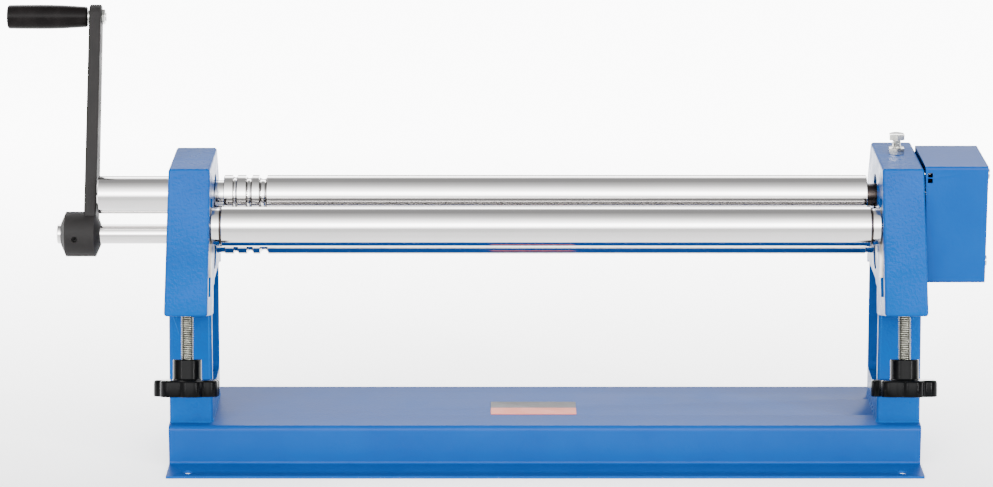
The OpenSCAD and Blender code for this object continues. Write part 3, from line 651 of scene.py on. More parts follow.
def loft(rings: list[list[Vector]], capped: bool = True) -> Shape:
    """Join rings of equal length into one skin.

    Args:
        rings: Closed rings in order, each with as many points.
        capped: Whether the first and the last ring are filled.

    Returns:
        The skin, closed if it is capped.
    """
    bm = bmesh.new()
    rows = [[bm.verts.new(point) for point in ring] for ring in rings]
    count = len(rows[0])
    for below, above in zip(rows, rows[1:]):
        for i in range(count):
            j = (i + 1) % count
            bm.faces.new((below[i], below[j], above[j], above[i]))
    if capped:
        bm.faces.new(list(reversed(rows[0])))
        bm.faces.new(rows[-1])
    return bm


def ring(radius: float, z: float, angles: list[float]) -> list[Vector]:
    """Lay a level ring of points round Z."""
    return [Vector((radius * math.cos(a), radius * math.sin(a), z)) for a in angles]


def hex_body(across_flats: float, height: float, chamfer_low: bool, bore: float = 0.0) -> Shape:
    """A hexagon head or nut about Z, its corners turned off.

    Args:
        across_flats: Width over two flats.
        height: Height from 0.
        chamfer_low: Whether the lower corners are turned off too.
        bore: Radius of the hole through it, 0 for none.

    Returns:
        A closed bmesh.
    """
    flat = across_flats / 2
    face_r = flat * 0.95
    slope = math.tan(math.radians(30.0))
    count = 72
    angles = [math.tau * i / count for i in range(count)]

    def sides(z: float, way: float) -> list[Vector]:
        """Lay a ring on the six sides, bent along Z towards way where the corners are turned off."""
        radii = [flat / math.cos((a + math.pi / 6) % (math.pi / 3) - math.pi / 6) for a in angles]
        return [Vector((r * math.cos(a), r * math.sin(a), z + way * (r - face_r) * slope))
                for a, r in zip(angles, radii)]

    rings: list[list[Vector]] = []
    if bore > 0.0:
        rings += [ring(bore, height, angles), ring(bore, 0.0, angles)]
    if chamfer_low:
        rings += [ring(face_r, 0.0, angles), sides(0.0, 1.0)]
    else:
        rings += [sides(0.0, 0.0)]
    rings += [sides(height, -1.0), ring(face_r, height, angles)]
    if bore > 0.0:
        rings += [ring(bore, height, angles)]
    return loft(rings, bore == 0.0)


def threaded_rod(low: float, high: float, crest: float, depth: float, pitch: float,
                 thread_low: float, thread_high: float, steps: int = 28) -> Shape:
    """A rod about Z with one V thread wound round it.

    Args:
        low: Height of the rod's lower end.
        high: Height of its upper end.
        crest: Radius at the thread's crest.
        depth: Depth of the thread.
        pitch: Rise in one turn.
        thread_low: Where the thread starts.
        thread_high: Where the thread ends.
        steps: Facets in one turn.

    Returns:
        A bmesh of the core and the thread.
    """
    core = crest - depth
    edge = depth * 0.8
    outline = [(low, 0.0), (low, core - edge), (low + edge, core), (high - edge, core),
               (high, core - edge), (high, 0.0)]
    rod = spun(outline, Axis.Z, ORIGIN, steps)
    turns = max(1, int((thread_high - thread_low) / pitch) - 1)
    flat = pitch / 10
    root = core - 0.02 * MM
    profile = [(0.0, root), (pitch / 2 - flat, crest), (pitch / 2 + flat, crest), (pitch, root)]
    wound = bmesh.new()
    verts = [wound.verts.new(Vector((radius, 0.0, thread_low + along))) for along, radius in profile]
    edges = [wound.edges.new(pair) for pair in zip(verts, verts[1:])]
    bmesh.ops.spin(wound, geom=verts + edges, cent=ORIGIN, axis=Axis.Z.value,
                   angle=math.tau * turns, steps=steps * turns, dvec=(0.0, 0.0, pitch / steps),
                   use_merge=False, use_duplicate=False)
    bmesh.ops.remove_doubles(wound, verts=wound.verts, dist=MERGE)
    bmesh.ops.recalc_face_normals(wound, faces=wound.faces)
    return joined(rod, wound)


def joined(first: Shape, second: Shape) -> Shape:
    """Add the second shape's mesh to the first and free the second.

    Args:
        first: The shape that grows.
        second: The shape that is added.

    Returns:
        The first shape.
    """
    scratch = bpy.data.meshes.new("scratch")
    second.to_mesh(scratch)
    second.free()
    first.from_mesh(scratch)
    bpy.data.meshes.remove(scratch)
    return first


def placed(bm: Shape, matrix: Matrix) -> Shape:
    """Move a shape from its own frame into the machine's."""
    bmesh.ops.transform(bm, matrix=matrix, verts=bm.verts)
    return bm


def hand_over(piece: Piece, body: str, slot: str, *nodes: str) -> None:
    """Args:
        piece: The finished piece.
        body: The moving body that carries it.
        slot: Its material slot in the record; not used.
        nodes: The CAD nodes that it replaces.
    """
    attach(piece, body)
    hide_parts(*nodes)


@dataclass
class Finishes:
    """All finishes of the machine, each built once."""

    casting: Finish = field(default_factory=HammeredPaint().build)
    sheet: Finish = field(default_factory=SheetPaint().build)
    roll: Finish = field(default_factory=GroundSteel().build)
    # Dark finish of the top roll's right neck and the bending roll's end rings, also painted shade on the
    # wire grooves' right flanks
    journal: Finish = field(default_factory=OiledSteel(
        "dark_journal_and_groove_shade", (0.05, 0.04, 0.036), (0.018, 0.014, 0.013), (0.22, 0.42)).build)
    plated: Finish = field(default_factory=PlatedSteel().build)
    thread: Finish = field(default_factory=PlatedSteel(
        "oiled_thread_steel", (0.22, 0.22, 0.19), (0.09, 0.09, 0.078), (0.18, 0.30)).build)
    gear: Finish = field(default_factory=OiledSteel(
        "hobbed_gear_steel", (0.42, 0.41, 0.40), (0.22, 0.21, 0.20)).build)
    bearing: Finish = field(default_factory=OiledSteel(
        "oiled_bearing_iron", (0.085, 0.083, 0.082), (0.04, 0.04, 0.04), (0.30, 0.50)).build)
    block: Finish = field(default_factory=OiledSteel(
        "machined_block_iron", (0.30, 0.27, 0.25), (0.17, 0.15, 0.14), (0.34, 0.54)).build)
    knob: Finish = field(default_factory=MouldedPlastic("knob_plastic").build)
    grip: Finish = field(default_factory=MouldedPlastic(
        "grip_plastic", (0.0035, 0.003, 0.003), (0.007, 0.006, 0.006), (0.19, 0.38)).build)
    crank: Finish = field(default_factory=SatinEnamel().build)
    blackened: Finish = field(default_factory=OiledSteel(
        "blackened_screw", (0.03, 0.03, 0.03), (0.015, 0.015, 0.015), (0.28, 0.48)).build)
    plate: Finish = field(default_factory=TwoTonePlate().build)
    paper: Finish = field(default_factory=PaperWhite().build)


@dataclass
class Studio:
    """The camera at the photograph's place, the paper floor and the soft lights."""

    image_w: float = 993.0
    focal_px: float = 3516.0
    sensor_w: float = 36.0
    pitch_deg: float = 14.8
    camera_at: Vector = Vector((-0.0464, -3.2808, 1.0705))
    floor_half: float = 6.0
    # Brightness of the walls and the ceiling by height angle, seen from the machine: 0 ahead, 90 overhead
    bands: tuple[Point, ...] = ((-180.0, 0.09), (-20.0, 0.05), (-6.0, 0.06), (0.0, 0.15), (6.0, 0.29),
                                (14.0, 0.8), (20.0, 1.0), (27.0, 0.95), (36.0, 0.5), (51.0, 0.26),
                                (64.0, 0.13), (76.0, 0.08), (97.0, 0.036), (122.0, 0.034),
                                (134.0, 0.15), (141.0, 0.75), (147.0, 0.75), (154.0, 0.22),
                                (163.0, 0.11), (180.0, 0.09))
    band_strength: float = 16.0
    # Share of that brightness left at the two side walls, and the sideways lean where it starts to fall
    side_share: float = 0.12
    side_from: float = 0.45
    # Place, size and power of the soft boxes, and the point that they face
    boxes: tuple[tuple[str, Vector, Point, float], ...] = (
        ("right_strip", Vector((2.6, -1.7, 1.1)), (0.10, 1.7), 80.0),
        ("left_strip", Vector((-2.4, -2.2, 1.2)), (0.14, 1.6), 40.0))
    aim: Vector = Vector((0.0, -0.05, 0.2))

    def camera(self) -> None:
        """Place the camera and make it the scene's own."""
        data = bpy.data.cameras.new("camera")
        data.sensor_width = self.sensor_w
        data.lens = self.focal_px * self.sensor_w / self.image_w
        data.clip_end = 100.0
        eye = in_scene("camera", data)
        eye.location = self.camera_at
        eye.rotation_euler = (math.radians(90.0 - self.pitch_deg), 0.0, 0.0)
        bpy.context.scene.camera = eye

    def floor(self, paper: Finish) -> None:
        """Lay the paper floor under the machine, which glows as painted light.

        Args:
            paper: Its finish.
        """
        bm = bmesh.new()
        bmesh.ops.create_grid(bm, x_segments=4, y_segments=4, size=self.floor_half)
        finished(bm, "studio_floor", paper)

    def lights(self) -> None:
        """Hang the soft boxes."""
        for name, at, size, watts in self.boxes:
            data = bpy.data.lights.new(name, "AREA")
            data.shape = "RECTANGLE"
            data.size, data.size_y = size
            data.energy = watts
            lamp = in_scene(name, data)
            lamp.location = at
            lamp.rotation_euler = (self.aim - at).to_track_quat("-Z", "Y").to_euler()

    def surround(self) -> None:
        """Paint the studio's walls and ceiling as bands of brightness by height angle."""
        world = bpy.data.worlds.new("studio")
        bpy.context.scene.world = world
        world.use_nodes = True
        sketch = ShaderTree(world.node_tree)
        way = sketch.node("SeparateXYZ", {"Vector": sketch.node("TexCoord").outputs["Generated"]}).outputs
        angle = sketch.maths("ARCTAN2", way["Z"], sketch.maths("MULTIPLY", way["Y"], -1.0))
        walls = sketch.node("ValToRGB", {"Fac": sketch.ramp(angle, (-math.pi, math.pi))})
        strength = sketch.ramp(sketch.maths("ABSOLUTE", way["X"]), (self.side_from, 1.0),
                               (self.band_strength, self.band_strength * self.side_share))
        light = sketch.node("Background", {"Color": walls.outputs["Color"], "Strength": strength})
        sketch.node("OutputWorld", {"Surface": light.outputs["Background"]})
        stops = walls.color_ramp.elements
        stops.remove(stops[-1])
        stops[0].position = 0.0
        stops[0].color = (self.bands[0][1],) * 3 + (1.0,)
        for degrees, value in self.bands[1:]:
            stop = stops.new((degrees + 180.0) / 360.0)
            stop.color = (value, value, value, 1.0)

    def build(self, finishes: Finishes) -> None:
        """Set up the camera, the floor, the walls and the lights.

        Args:
            finishes: The finishes, for the floor's paper.
        """
        self.camera()
        self.floor(finishes.paper)
        self.surround()
        self.lights()
        log.info("studio ready")


@dataclass
class RollSet:
    """The three rolls and the sleeve, turned about their own axes."""

    finishes: Finishes
    roll_half: float = 305 * MM
    chamfer: float = 0.6 * MM
    ring_w: float = 1.6 * MM
    ring_depth: float = 1.5 * MM
    collar_len: float = 7.6 * MM
    bend_collar_inset: float = 1.2 * MM
    drive_collar_inset: float = 1.0 * MM
    # Radii of the journals and shafts
    bend_journal: float = 9.0 * MM
    drive_journal: float = 11.0 * MM
    crank_shaft: float = 9.15 * MM
    gear_shaft: float = 9.0 * MM
    left_neck: float = 14.0 * MM
    left_journal: float = 12.0 * MM
    left_shaft: float = 10.0 * MM
    right_neck: float = 10.75 * MM
    neck_len: float = 8.0 * MM
    gear_gap: float = 4.0 * MM
    shoulder: float = 0.3 * MM
    sleeve_bore: float = 10.05 * MM
    sleeve_cap: float = 5.0 * MM
    groove_steps: int = 14
    steps: int = 128
    groove_at: Triple = (-294.3 * MM, -281.0 * MM, -267.7 * MM)
    groove_dia: Triple = (4.4 * MM, 6.0 * MM, 7.6 * MM)
    # Painted shade on a groove's right flank starts at this share of its half width, and this deep under the
    # roll's skin
    flank_share: float = 0.55
    groove_shade_depth: float = 0.05 * MM

    def middle_of(self, node: str) -> tuple[Vector, float]:
        """Find a roll's axis and radius from its CAD node.

        Args:
            node: The CAD node's name.

        Returns:
            A point on the axis at X 0, and the roll's radius.
        """
        low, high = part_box(node)
        return Vector((0.0, (low.y + high.y) / 2, (low.z + high.z) / 2)), (high.z - low.z) / 2

    def turned(self, outline: list[Point], middle: Vector, name: str) -> Piece:
        """Turn an outline about the axis through middle into a piece of roll steel."""
        return finished(spun(outline, Axis.X, middle, self.steps), name, self.finishes.roll)

    def darken_band(self, piece: Piece, middle: Vector, radius: float, low: float, high: float) -> None:
        """Give the faces of a roll within a stretch along X and nearer to the axis than a radius the dark
        journal finish.

        Args:
            piece: The turned roll.
            middle: A point on its axis.
            radius: Faces nearer to the axis than this are darkened.
            low: Place along X where the dark finish starts.
            high: Place where it ends.
        """
        if len(piece.data.materials) < 2:
            piece.data.materials.append(self.finishes.journal)
        for face in piece.data.polygons:
            out = math.hypot(face.center.y - middle.y, face.center.z - middle.z)
            if low < face.center.x < high and out < radius:
                face.material_index = 1

    def paint_groove_shade(self, piece: Piece, middle: Vector, radius: float) -> None:
        """Paint a thin dark line on the right flank of each wire groove: painted shade that stands in for
        the flank's reflection of a dark studio side.

        Args:
            piece: The turned roll.
            middle: A point on its axis.
            radius: The roll's radius.
        """
        for at, dia in zip(self.groove_at, self.groove_dia):
            flank = at + self.flank_share * dia / 2
            self.darken_band(piece, middle, radius - self.groove_shade_depth, flank, at + dia / 2)

    def build(self) -> None:
        """Turn the bending, drive and top rolls and the sleeve."""
        self.bending()
        self.drive()
        self.top()
        self.sleeve()

    def left_tip(self, at: float, radius: float) -> list[Point]:
        """Outline of a shaft's chamfered left end."""
        return [(at, 0.0), (at, radius - self.chamfer), (at + self.chamfer, radius)]

    def grooved_body(self, radius: float) -> list[Point]:
        """Outline of a roll's body between its chamfered ends, with the wire grooves near the left one.

        Args:
            radius: The roll's radius.

        Returns:
            The points from left to right.
        """
        points = [(-self.roll_half, radius - self.chamfer), (-self.roll_half + self.chamfer, radius)]
        for at, dia in zip(self.groove_at, self.groove_dia):
            points += arc((at, radius), dia / 2, 180.0, 360.0, self.groove_steps)
        return points + [(self.roll_half - self.chamfer, radius), (self.roll_half, radius - self.chamfer)]

    def gear_end(self, gear_x: float, end: float, journal: float) -> list[Point]:
        """Outline of a shaft's right end, from its journal to the gear's seat and the chamfered tip.

        Args:
            gear_x: Where the gear starts.
            end: Where the shaft ends.
            journal: The journal's radius.

        Returns:
            The points from left to right.
        """
        seat = gear_x - self.shoulder
        return [(seat, journal), (seat, self.gear_shaft), (end - self.chamfer, self.gear_shaft),
                (end, self.gear_shaft - self.chamfer), (end, 0.0)]

    def bending(self) -> None:
        """Turn the bending roll with its ring grooves and collars."""
        middle, radius = self.middle_of("bending_roll")
        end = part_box("bending_roll")[1].x
        collar = radius - self.bend_collar_inset
        ring_in = self.roll_half - self.ring_w / 2
        ring_out = self.roll_half + self.ring_w / 2
        collar_end = ring_out + self.collar_len
        right = [(ring_in - self.chamfer, radius), (ring_in, radius - self.chamfer),
                 (ring_in, radius - self.ring_depth), (ring_out, radius - self.ring_depth),
                 (ring_out, collar - self.chamfer / 2), (ring_out + self.chamfer / 2, collar),
                 (collar_end - self.chamfer, collar), (collar_end, collar - self.chamfer),
                 (collar_end, self.bend_journal), (end - self.chamfer, self.bend_journal),
                 (end, self.bend_journal - self.chamfer), (end, 0.0)]
        left = [(-along, r) for along, r in reversed(right)]
        piece = self.turned(left + right, middle, "bending_roll_turned")
        floor = radius - self.chamfer
        # The end ring grooves get the dark journal finish
        self.darken_band(piece, middle, floor, ring_in - self.shoulder, ring_out + self.shoulder)
        self.darken_band(piece, middle, floor, -ring_out - self.shoulder, -ring_in + self.shoulder)
        hand_over(piece, "bending_roll", "roll_steel", "bending_roll")

    def drive(self) -> None:
        """Turn the drive roll, its wire grooves, journals and crank shaft."""
        middle, radius = self.middle_of("drive_roll")
        low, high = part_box("drive_roll")
        collar = radius - self.drive_collar_inset
        collar_end = self.roll_half + self.ring_w / 2 + self.collar_len
        gear_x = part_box("drive_gear")[0].x
        journal_end = gear_x - self.gear_gap + self.shoulder
        outline = self.left_tip(low.x, self.crank_shaft)
        outline += [(-journal_end, self.crank_shaft), (-journal_end, self.drive_journal),
                    (-collar_end, self.drive_journal), (-collar_end, collar - self.chamfer),
                    (-collar_end + self.chamfer, collar), (-self.roll_half, collar)]
        outline += self.grooved_body(radius)
        outline += [(self.roll_half, collar), (collar_end - self.chamfer, collar),
                    (collar_end, collar - self.chamfer), (collar_end, self.drive_journal)]
        outline += self.gear_end(gear_x, high.x, self.drive_journal)
        piece = self.turned(outline, middle, "drive_roll_turned")
        # Painted shade: a dark line on each wire groove's right flank
        self.paint_groove_shade(piece, middle, radius)
        hand_over(piece, "drive_roll", "roll_steel", "drive_roll")

    def top(self) -> None:
        """Turn the top roll, its right neck and shaft end darkened."""
        middle, radius = self.middle_of("top_roll")
        low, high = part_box("top_roll")
        sleeve_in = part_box("top_roll_sleeve")[1].x
        neck_end = self.roll_half + self.neck_len
        outline = self.left_tip(low.x, self.left_shaft)
        outline += [(sleeve_in, self.left_shaft), (sleeve_in, self.left_journal),
                    (-neck_end, self.left_journal), (-neck_end, self.left_neck),
                    (-self.roll_half, self.left_neck)]
        outline += self.grooved_body(radius)
        outline += [(self.roll_half, self.right_neck)]
        outline += self.gear_end(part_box("top_gear")[0].x, high.x, self.right_neck)
        piece = self.turned(outline, middle, "top_roll_turned")
        # The right neck and the shaft end get the dark journal finish
        self.darken_band(piece, middle, self.left_neck + self.chamfer, self.roll_half + self.chamfer, high.x)
        # Painted shade: a dark line on each wire groove's right flank
        self.paint_groove_shade(piece, middle, radius)
        hand_over(piece, "top_roll", "roll_steel", "top_roll")

    def sleeve(self) -> None:
        """Turn the sleeve as a cup over the top roll's left end."""
        middle, _ = self.middle_of("top_roll")
        low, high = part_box("top_roll_sleeve")
        outer = (high.z - low.z) / 2
        edge = 2 * self.chamfer
        floor = low.x + self.sleeve_cap
        outline = [(low.x, 0.0), (low.x, outer - edge), (low.x + edge, outer),
                   (high.x - self.chamfer, outer), (high.x, outer - self.chamfer),
                   (high.x, self.sleeve_bore), (floor, self.sleeve_bore), (floor, 0.0)]
        piece = self.turned(outline, middle, "top_roll_sleeve_turned")
        hand_over(piece, "top_roll", "roll_steel", "top_roll_sleeve")


@dataclass
class Castings:
    """The two end frames and the bearing blocks that they carry."""

    finishes: Finishes
    sharp_deg: float = 22.0
    corner_deg: float = 80.0
    block_edge: float = 0.5 * MM
    edge_facets: int = 2

    def build(self) -> None:
        """Copy the castings from the CAD, break the blocks' edges and give each its finish."""
        for node in ("left_end_frame", "right_end_frame"):
            piece = finished(cad_copy(node), node + "_casting", self.finishes.casting)
            smooth(piece.data, self.sharp_deg)
            hand_over(piece, "frame", "blue_casting", node)
        for node in ("left_bending_bearing", "right_bending_bearing"):
            bm = cad_copy(node)
            round_edges(bm, self.block_edge, self.edge_facets,
                        lambda edge: is_corner(edge, self.corner_deg))
            piece = finished(bm, node + "_block", self.finishes.block)
            hand_over(piece, "bending_carriage", "block_iron", node)


@dataclass
class SheetParts:
    """The folded base, the gear cover and the blank plate on the base."""

    finishes: Finishes
    sharp_deg: float = 25.0
    corner_deg: float = 70.0
    cut_edge: float = 0.3 * MM
    edge_facets: int = 2
    plate_low: Vector = Vector((-0.052, -0.029, 0.0))
    plate_size: Vector = Vector((0.083, 0.040, 0.0005))
    plate_corner: float = 1.5 * MM
    corner_facets: int = 4

    def build(self) -> None:
        """Copy the sheet parts with their cut edges eased, and lay the plate."""
        for node in ("base", "gear_cover"):
            bm = cad_copy(node)
            round_edges(bm, self.cut_edge, self.edge_facets, lambda edge: is_corner(edge, self.corner_deg))
            piece = finished(bm, node + "_sheet", self.finishes.sheet)
            smooth(piece.data, self.sharp_deg)
            hand_over(piece, "frame", "blue_sheet", node)
        self.plate()

    def plate(self) -> None:
        """Lay the blank two-tone plate on the base's top face."""
        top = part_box("base")[1].z
        size = self.plate_size
        middle = top + size.z / 2
        corner = Vector((self.plate_low.x, self.plate_low.y, top))
        ends = ((0.0, 0.0), (size.x, 0.0), (size.x, size.y), (0.0, size.y))

        def upright(edge: Edge) -> bool:
            """Whether an edge joins the plate's two faces."""
            return (edge.verts[0].co.z > middle) != (edge.verts[1].co.z > middle)

        def upper(edge: Edge) -> bool:
            """Whether an edge goes round the plate's upper face."""
            return is_corner(edge) and all(vert.co.z > middle for vert in edge.verts)

        bm = prism([corner + Vector((x, y, 0.0)) for x, y in ends], Vector((0.0, 0.0, size.z)))
        round_edges(bm, self.plate_corner, self.corner_facets, upright)
        round_edges(bm, size.z / 3, self.edge_facets, upper)
        piece = finished(bm, "blank_plate", self.finishes.plate)
        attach(piece, "frame")


@dataclass
class HeightScrews:
    """The two threaded screws under the heads and their star knobs, in the leaning frame of the path."""

    finishes: Finishes
    pivot: Vector = Vector((0.0, -0.086, 0.243))
    lean_deg: float = 15.0
    screw_x: float = 336.55 * MM
    knob_reach: float = 159.6 * MM
    rim_dia: float = 63.0 * MM
    rim_h: float = 15.7 * MM
    hub_r: float = 13.4 * MM
    hub_h: float = 19.1 * MM
    lobes: int = 7
    lobe_facets: int = 24
    edge_facets: int = 4
    high_edge_facets: int = 6
    # Shares of the rim's diameter
    lobe_share: float = 0.36
    valley_share: float = 0.2
    valley_at_share: float = 0.53
    core_share: float = 0.9
    # The knob's roundings from its lower face up, the shallow dish below and the socket above
    dish_r: float = 9.0 * MM
    dish_rim_r: float = 10.0 * MM
    dish_depth: float = 0.8 * MM
    low_edge: float = 1.2 * MM
    high_edge: float = 2.6 * MM
    hub_foot: float = 1.4 * MM
    hub_crown: float = 1.1 * MM
    socket_gap: float = 0.1 * MM
    socket_lip: float = 0.6 * MM
    socket_depth: float = 12.0 * MM
    # The screw, with its ends' heights in the leaning frame
    rod_r: float = 5.97 * MM
    pitch: float = 1.75 * MM
    thread_depth: float = 1.05 * MM
    screw_low: float = -136.8 * MM
    screw_top: float = -48.0 * MM
    plain_low: float = 8.0 * MM
    plain_top: float = 2.0 * MM

    def rim_radius(self, angle: float) -> float:
        """Distance from the knob's axis to its rim.

        Args:
            angle: Direction, 0 on the middle of a lobe.

        Returns:
            The radius of the star there.
        """
        step = math.tau / self.lobes
        off = (angle + step / 2) % step - step / 2
        lobe_r = self.rim_dia * self.lobe_share / 2
        lobe_at = self.rim_dia / 2 - lobe_r
        bulge = lobe_r ** 2 - (lobe_at * math.sin(off)) ** 2
        radius = self.rim_dia * self.core_share / 2
        if bulge > 0.0:
            radius = max(radius, lobe_at * math.cos(off) + math.sqrt(bulge))
        valley_r = self.rim_dia * self.valley_share / 2
        valley_at = self.rim_dia * self.valley_at_share
        dip_off = step / 2 - abs(off)
        dip = valley_r ** 2 - (valley_at * math.sin(dip_off)) ** 2
        if dip > 0.0:
            radius = min(radius, valley_at * math.cos(dip_off) - math.sqrt(dip))
        return radius

    def star(self) -> Shape:
        """Model one knob about Z, its rim's lower face at 0 and one lobe towards -X.

        Returns:
            A closed bmesh.
        """
        count = self.lobes * self.lobe_facets
        angles = [math.pi + math.tau * i / count for i in range(count)]
        top = self.rim_h + self.hub_h
        socket = self.rod_r + self.socket_gap

        def rim(inset: float, z: float) -> list[Vector]:
            """Lay a ring round the lobes, drawn in by inset."""
            radii = [self.rim_radius(a - math.pi) - inset for a in angles]
            return [Vector((r * math.cos(a), r * math.sin(a), z)) for a, r in zip(angles, radii)]

        low, high, foot, crown = self.low_edge, self.high_edge, self.hub_foot, self.hub_crown
        rings = [ring(self.dish_r, self.dish_depth, angles), ring(self.dish_rim_r, 0.0, angles)]
        facets = self.edge_facets
        foot_at = (self.hub_r + foot, self.rim_h + foot)
        crown_at = (self.hub_r - crown, top - crown)
        rings += [rim(*at) for at in arc((low, low), low, 270.0, 180.0, facets)]
        rings += [rim(*at) for at in arc((high, self.rim_h - high), high, 180.0, 90.0,
                                         self.high_edge_facets)]
        rings += [ring(*at, angles) for at in arc(foot_at, foot, 270.0, 180.0, facets)]
        rings += [ring(*at, angles) for at in arc(crown_at, crown, 0.0, 90.0, facets)]
        rings += [ring(socket + self.socket_lip, top, angles),
                  ring(socket, top - self.socket_lip, angles),
                  ring(socket, top - self.socket_depth, angles)]
        return loft(rings)

    def build(self) -> None:
        """Model both knobs and both screws."""
        path = Matrix.Translation(self.pivot) @ Matrix.Rotation(math.radians(-self.lean_deg), 4, "X")
        for side, sign in (("left", -1.0), ("right", 1.0)):
            axis = path @ Matrix.Translation((sign * self.screw_x, 0.0, 0.0))
            foot = axis @ Matrix.Translation((0.0, 0.0, -self.knob_reach))
            knob = finished(placed(self.star(), foot), side + "_star_knob", self.finishes.knob)
            hand_over(knob, side + "_knob", "knob_plastic", side + "_height_knob")
            rod = threaded_rod(self.screw_low, self.screw_top, self.rod_r, self.thread_depth, self.pitch,
                               self.screw_low + self.plain_low, self.screw_top - self.plain_top)
            screw = finished(placed(rod, axis), side + "_threaded_screw", self.finishes.thread)
            hand_over(screw, side + "_knob", "zinc_steel", side + "_height_screw")


@dataclass
class TopBolt:
    """The hexagon bolt and its lock nut on the right head."""

    finishes: Finishes
    across_flats: float = 14.0 * MM
    head_h: float = 5.6 * MM
    rod_r: float = 3.98 * MM
    nut_gap: float = 0.05 * MM
    pitch: float = 1.25 * MM
    thread_depth: float = 0.7 * MM
    plain_low: float = 2.0 * MM
    # How far the rod and its thread run up into the head
    rod_in_head: float = 1.0 * MM
    thread_in_head: float = 0.5 * MM

    def build(self) -> None:
        """Model the bolt with its thread, and the nut under its head."""
        low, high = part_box("top_adjust_bolt")
        nut_low, nut_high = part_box("top_lock_nut")
        middle = Vector(((low.x + high.x) / 2, (low.y + high.y) / 2, 0.0))
        under_head = high.z - self.head_h
        rod = threaded_rod(low.z, under_head + self.rod_in_head, self.rod_r, self.thread_depth, self.pitch,
                           low.z + self.plain_low, under_head + self.thread_in_head)
        head = hex_body(self.across_flats, self.head_h, False)
        head = placed(head, Matrix.Translation((0.0, 0.0, under_head)))
        bolt = placed(joined(rod, head), Matrix.Translation(middle))
        bolt = finished(bolt, "top_bolt_threaded", self.finishes.plated)
        hand_over(bolt, "frame", "zinc_steel", "top_adjust_bolt")
        nut = hex_body(self.across_flats, nut_high.z - nut_low.z, True, self.rod_r + self.nut_gap)
        nut = placed(nut, Matrix.Translation(middle + Vector((0.0, 0.0, nut_low.z))))
        nut = finished(nut, "lock_nut_chamfered", self.finishes.plated)
        hand_over(nut, "frame", "zinc_steel", "top_lock_nut")


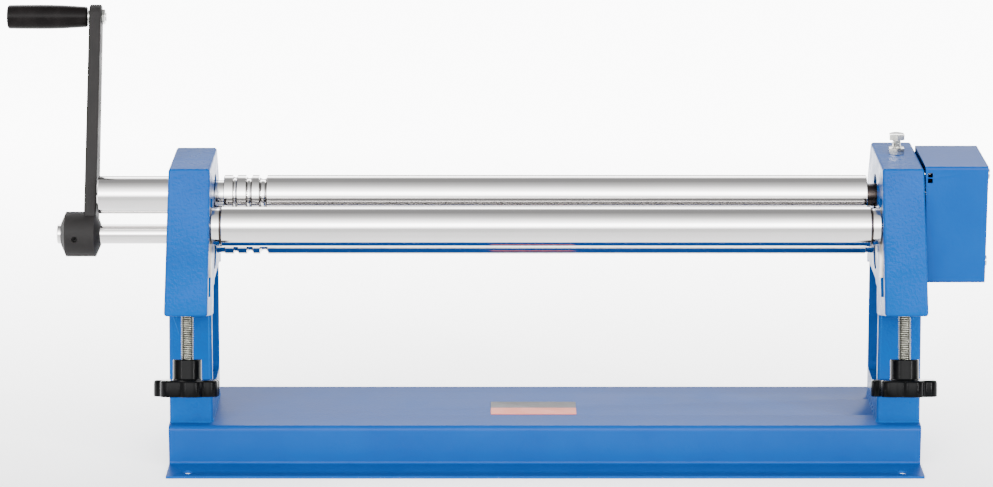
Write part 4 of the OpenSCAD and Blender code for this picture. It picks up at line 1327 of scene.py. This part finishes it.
@dataclass
class Crank:
    """Hub, arm and turning grip of the crank, the arm leaning back at rest."""

    finishes: Finishes
    axis_at: Vector = Vector((0.0, -0.034, 0.222))
    lean_deg: float = 26.0
    length: float = 214.0 * MM
    arm_half_hub: float = 16.0 * MM
    arm_half_grip: float = 12.0 * MM
    arm_edge: float = 1.6 * MM
    hub_edge: float = 1.3 * MM
    arm_corner_deg: float = 60.0
    hub_corner_deg: float = 20.0
    # Radius past which the hub's edges are its rims, and how level such an edge is
    rim_from: float = 10.0 * MM
    rim_level: float = 0.01 * MM
    grip_end_r: float = 2.2 * MM
    grip_inner: float = 10.0 * MM
    grip_bore: float = 4.1 * MM
    grip_cap: float = 5.0 * MM
    # Share of the way back from the arm's end, and share of the swell there
    grip_swell: tuple[Point, ...] = ((0.0, 0.0), (0.12, 0.34), (0.3, 0.78), (0.46, 0.97), (0.6, 1.0),
                                     (0.85, 0.96), (1.0, 0.86))
    nut_flats: float = 13.0 * MM
    nut_bore: float = 4.05 * MM
    edge_facets: int = 4
    arm_facets: int = 20
    grip_facets: int = 5
    steps: int = 72

    def arm_frame(self) -> Matrix:
        """Frame with Z along the arm and its origin on the drive roll's axis."""
        return Matrix.Translation(self.axis_at) @ Matrix.Rotation(math.radians(-self.lean_deg), 4, "X")

    def build(self) -> None:
        """Model the arm, the hub, the grip and the spindle's nut."""
        self.arm()
        self.hub()
        self.grip()
        self.nut()

    def arm(self) -> None:
        """Cut the arm from bar: straight tapered sides and a round end at the grip, all edges rounded."""
        low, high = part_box("crank_arm")
        lean = math.asin((self.arm_half_hub - self.arm_half_grip) / self.length)
        lean_deg = math.degrees(lean)
        end = arc((0.0, self.length), self.arm_half_grip, lean_deg, 180.0 - lean_deg, self.arm_facets)
        start = [(-self.arm_half_hub * math.cos(lean), 0.0), (self.arm_half_hub * math.cos(lean), 0.0)]
        outline = [Vector((low.x, y, z)) for y, z in start + end]
        bm = prism(outline, Vector((high.x - low.x, 0.0, 0.0)))
        round_edges(bm, self.arm_edge, self.edge_facets,
                    lambda edge: is_corner(edge, self.arm_corner_deg))
        piece = finished(placed(bm, self.arm_frame()), "crank_arm_bar", self.finishes.crank)
        hand_over(piece, "drive_roll", "crank_iron", "crank_arm")

    def hub(self) -> None:
        """Copy the hub with its screw hole from the CAD and round its tapered ends."""
        bm = cad_copy("crank_hub")
        round_edges(bm, self.hub_edge, self.edge_facets,
                    lambda edge: is_corner(edge, self.hub_corner_deg) and self.on_rim(edge))
        piece = finished(bm, "crank_hub_cast", self.finishes.crank)
        hand_over(piece, "drive_roll", "crank_iron", "crank_hub")

    def on_rim(self, edge: Edge) -> bool:
        """Whether an edge goes round the hub, far from the shaft.

        Args:
            edge: The edge to judge.

        Returns:
            True where both its ends lie at one distance along the shaft and the first is far from it.
        """
        first, second = (vert.co for vert in edge.verts)
        out = math.hypot(first.y - self.axis_at.y, first.z - self.axis_at.z)
        return out > self.rim_from and abs(first.x - second.x) < self.rim_level

    def grip(self) -> None:
        """Turn the barrel grip over its spindle."""
        low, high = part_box("crank_grip")
        end_r, inner = self.grip_end_r, self.grip_inner
        swell = (high.z - low.z) / 2 - inner
        length = high.x - low.x - 2 * end_r
        last = inner + swell * self.grip_swell[-1][1]
        cap = low.x + self.grip_cap
        outline = [(low.x, 0.0)]
        outline += arc((low.x + end_r, last - end_r), end_r, 180.0, 90.0, self.grip_facets)
        outline += [(high.x - end_r - length * along, inner + swell * share)
                    for along, share in reversed(self.grip_swell)]
        outline += arc((high.x - end_r, inner - end_r), end_r, 90.0, 0.0, self.grip_facets)
        outline += [(high.x, self.grip_bore), (cap, self.grip_bore), (cap, 0.0)]
        place = self.arm_frame() @ Matrix.Translation((0.0, 0.0, self.length))
        bm = placed(spun(outline, Axis.X, ORIGIN, self.steps), place)
        piece = finished(bm, "crank_grip_barrel", self.finishes.grip)
        hand_over(piece, "crank_grip", "grip_plastic", "crank_grip")

    def nut(self) -> None:
        """Model the nut that holds the spindle in the arm."""
        low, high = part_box("grip_nut")
        place = self.arm_frame() @ Matrix.Translation((low.x, 0.0, self.length))
        place = place @ Matrix.Rotation(math.pi / 2, 4, "Y")
        bm = placed(hex_body(self.nut_flats, high.x - low.x, True, self.nut_bore), place)
        piece = finished(bm, "grip_nut_chamfered", self.finishes.plated)
        hand_over(piece, "drive_roll", "zinc_steel", "grip_nut")


def dress_inner_parts(finishes: Finishes) -> None:
    """Give the CAD nodes that stay as they are their finishes.

    Args:
        finishes: The machine's finishes.
    """
    for finish, nodes in (
            (finishes.bearing, ("left_drive_bearing", "right_drive_bearing", "left_top_bearing",
                                "right_top_bearing")),
            (finishes.gear, ("drive_gear", "top_gear", "drive_gear_key", "top_gear_key")),
            (finishes.plated, ("left_frame_bolts", "right_frame_bolts", "cover_posts", "cover_screws",
                               "drive_gear_screw", "top_gear_screw", "grip_spindle")),
            (finishes.blackened, ("crank_set_screw", "sleeve_set_screw"))):
        for node in nodes:
            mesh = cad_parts[node].data
            mesh.materials.clear()
            mesh.materials.append(finish)
            log.info("%s: CAD node dressed", node)


def main() -> None:
    """Build the studio and the machine's pieces in order."""
    logging.basicConfig(level=logging.INFO, format="%(name)s %(message)s")
    finishes = Finishes()
    Studio().build(finishes)
    RollSet(finishes).build()
    Castings(finishes).build()
    SheetParts(finishes).build()
    HeightScrews(finishes).build()
    TopBolt(finishes).build()
    Crank(finishes).build()
    dress_inner_parts(finishes)


if __name__ == "__main__":
    main()
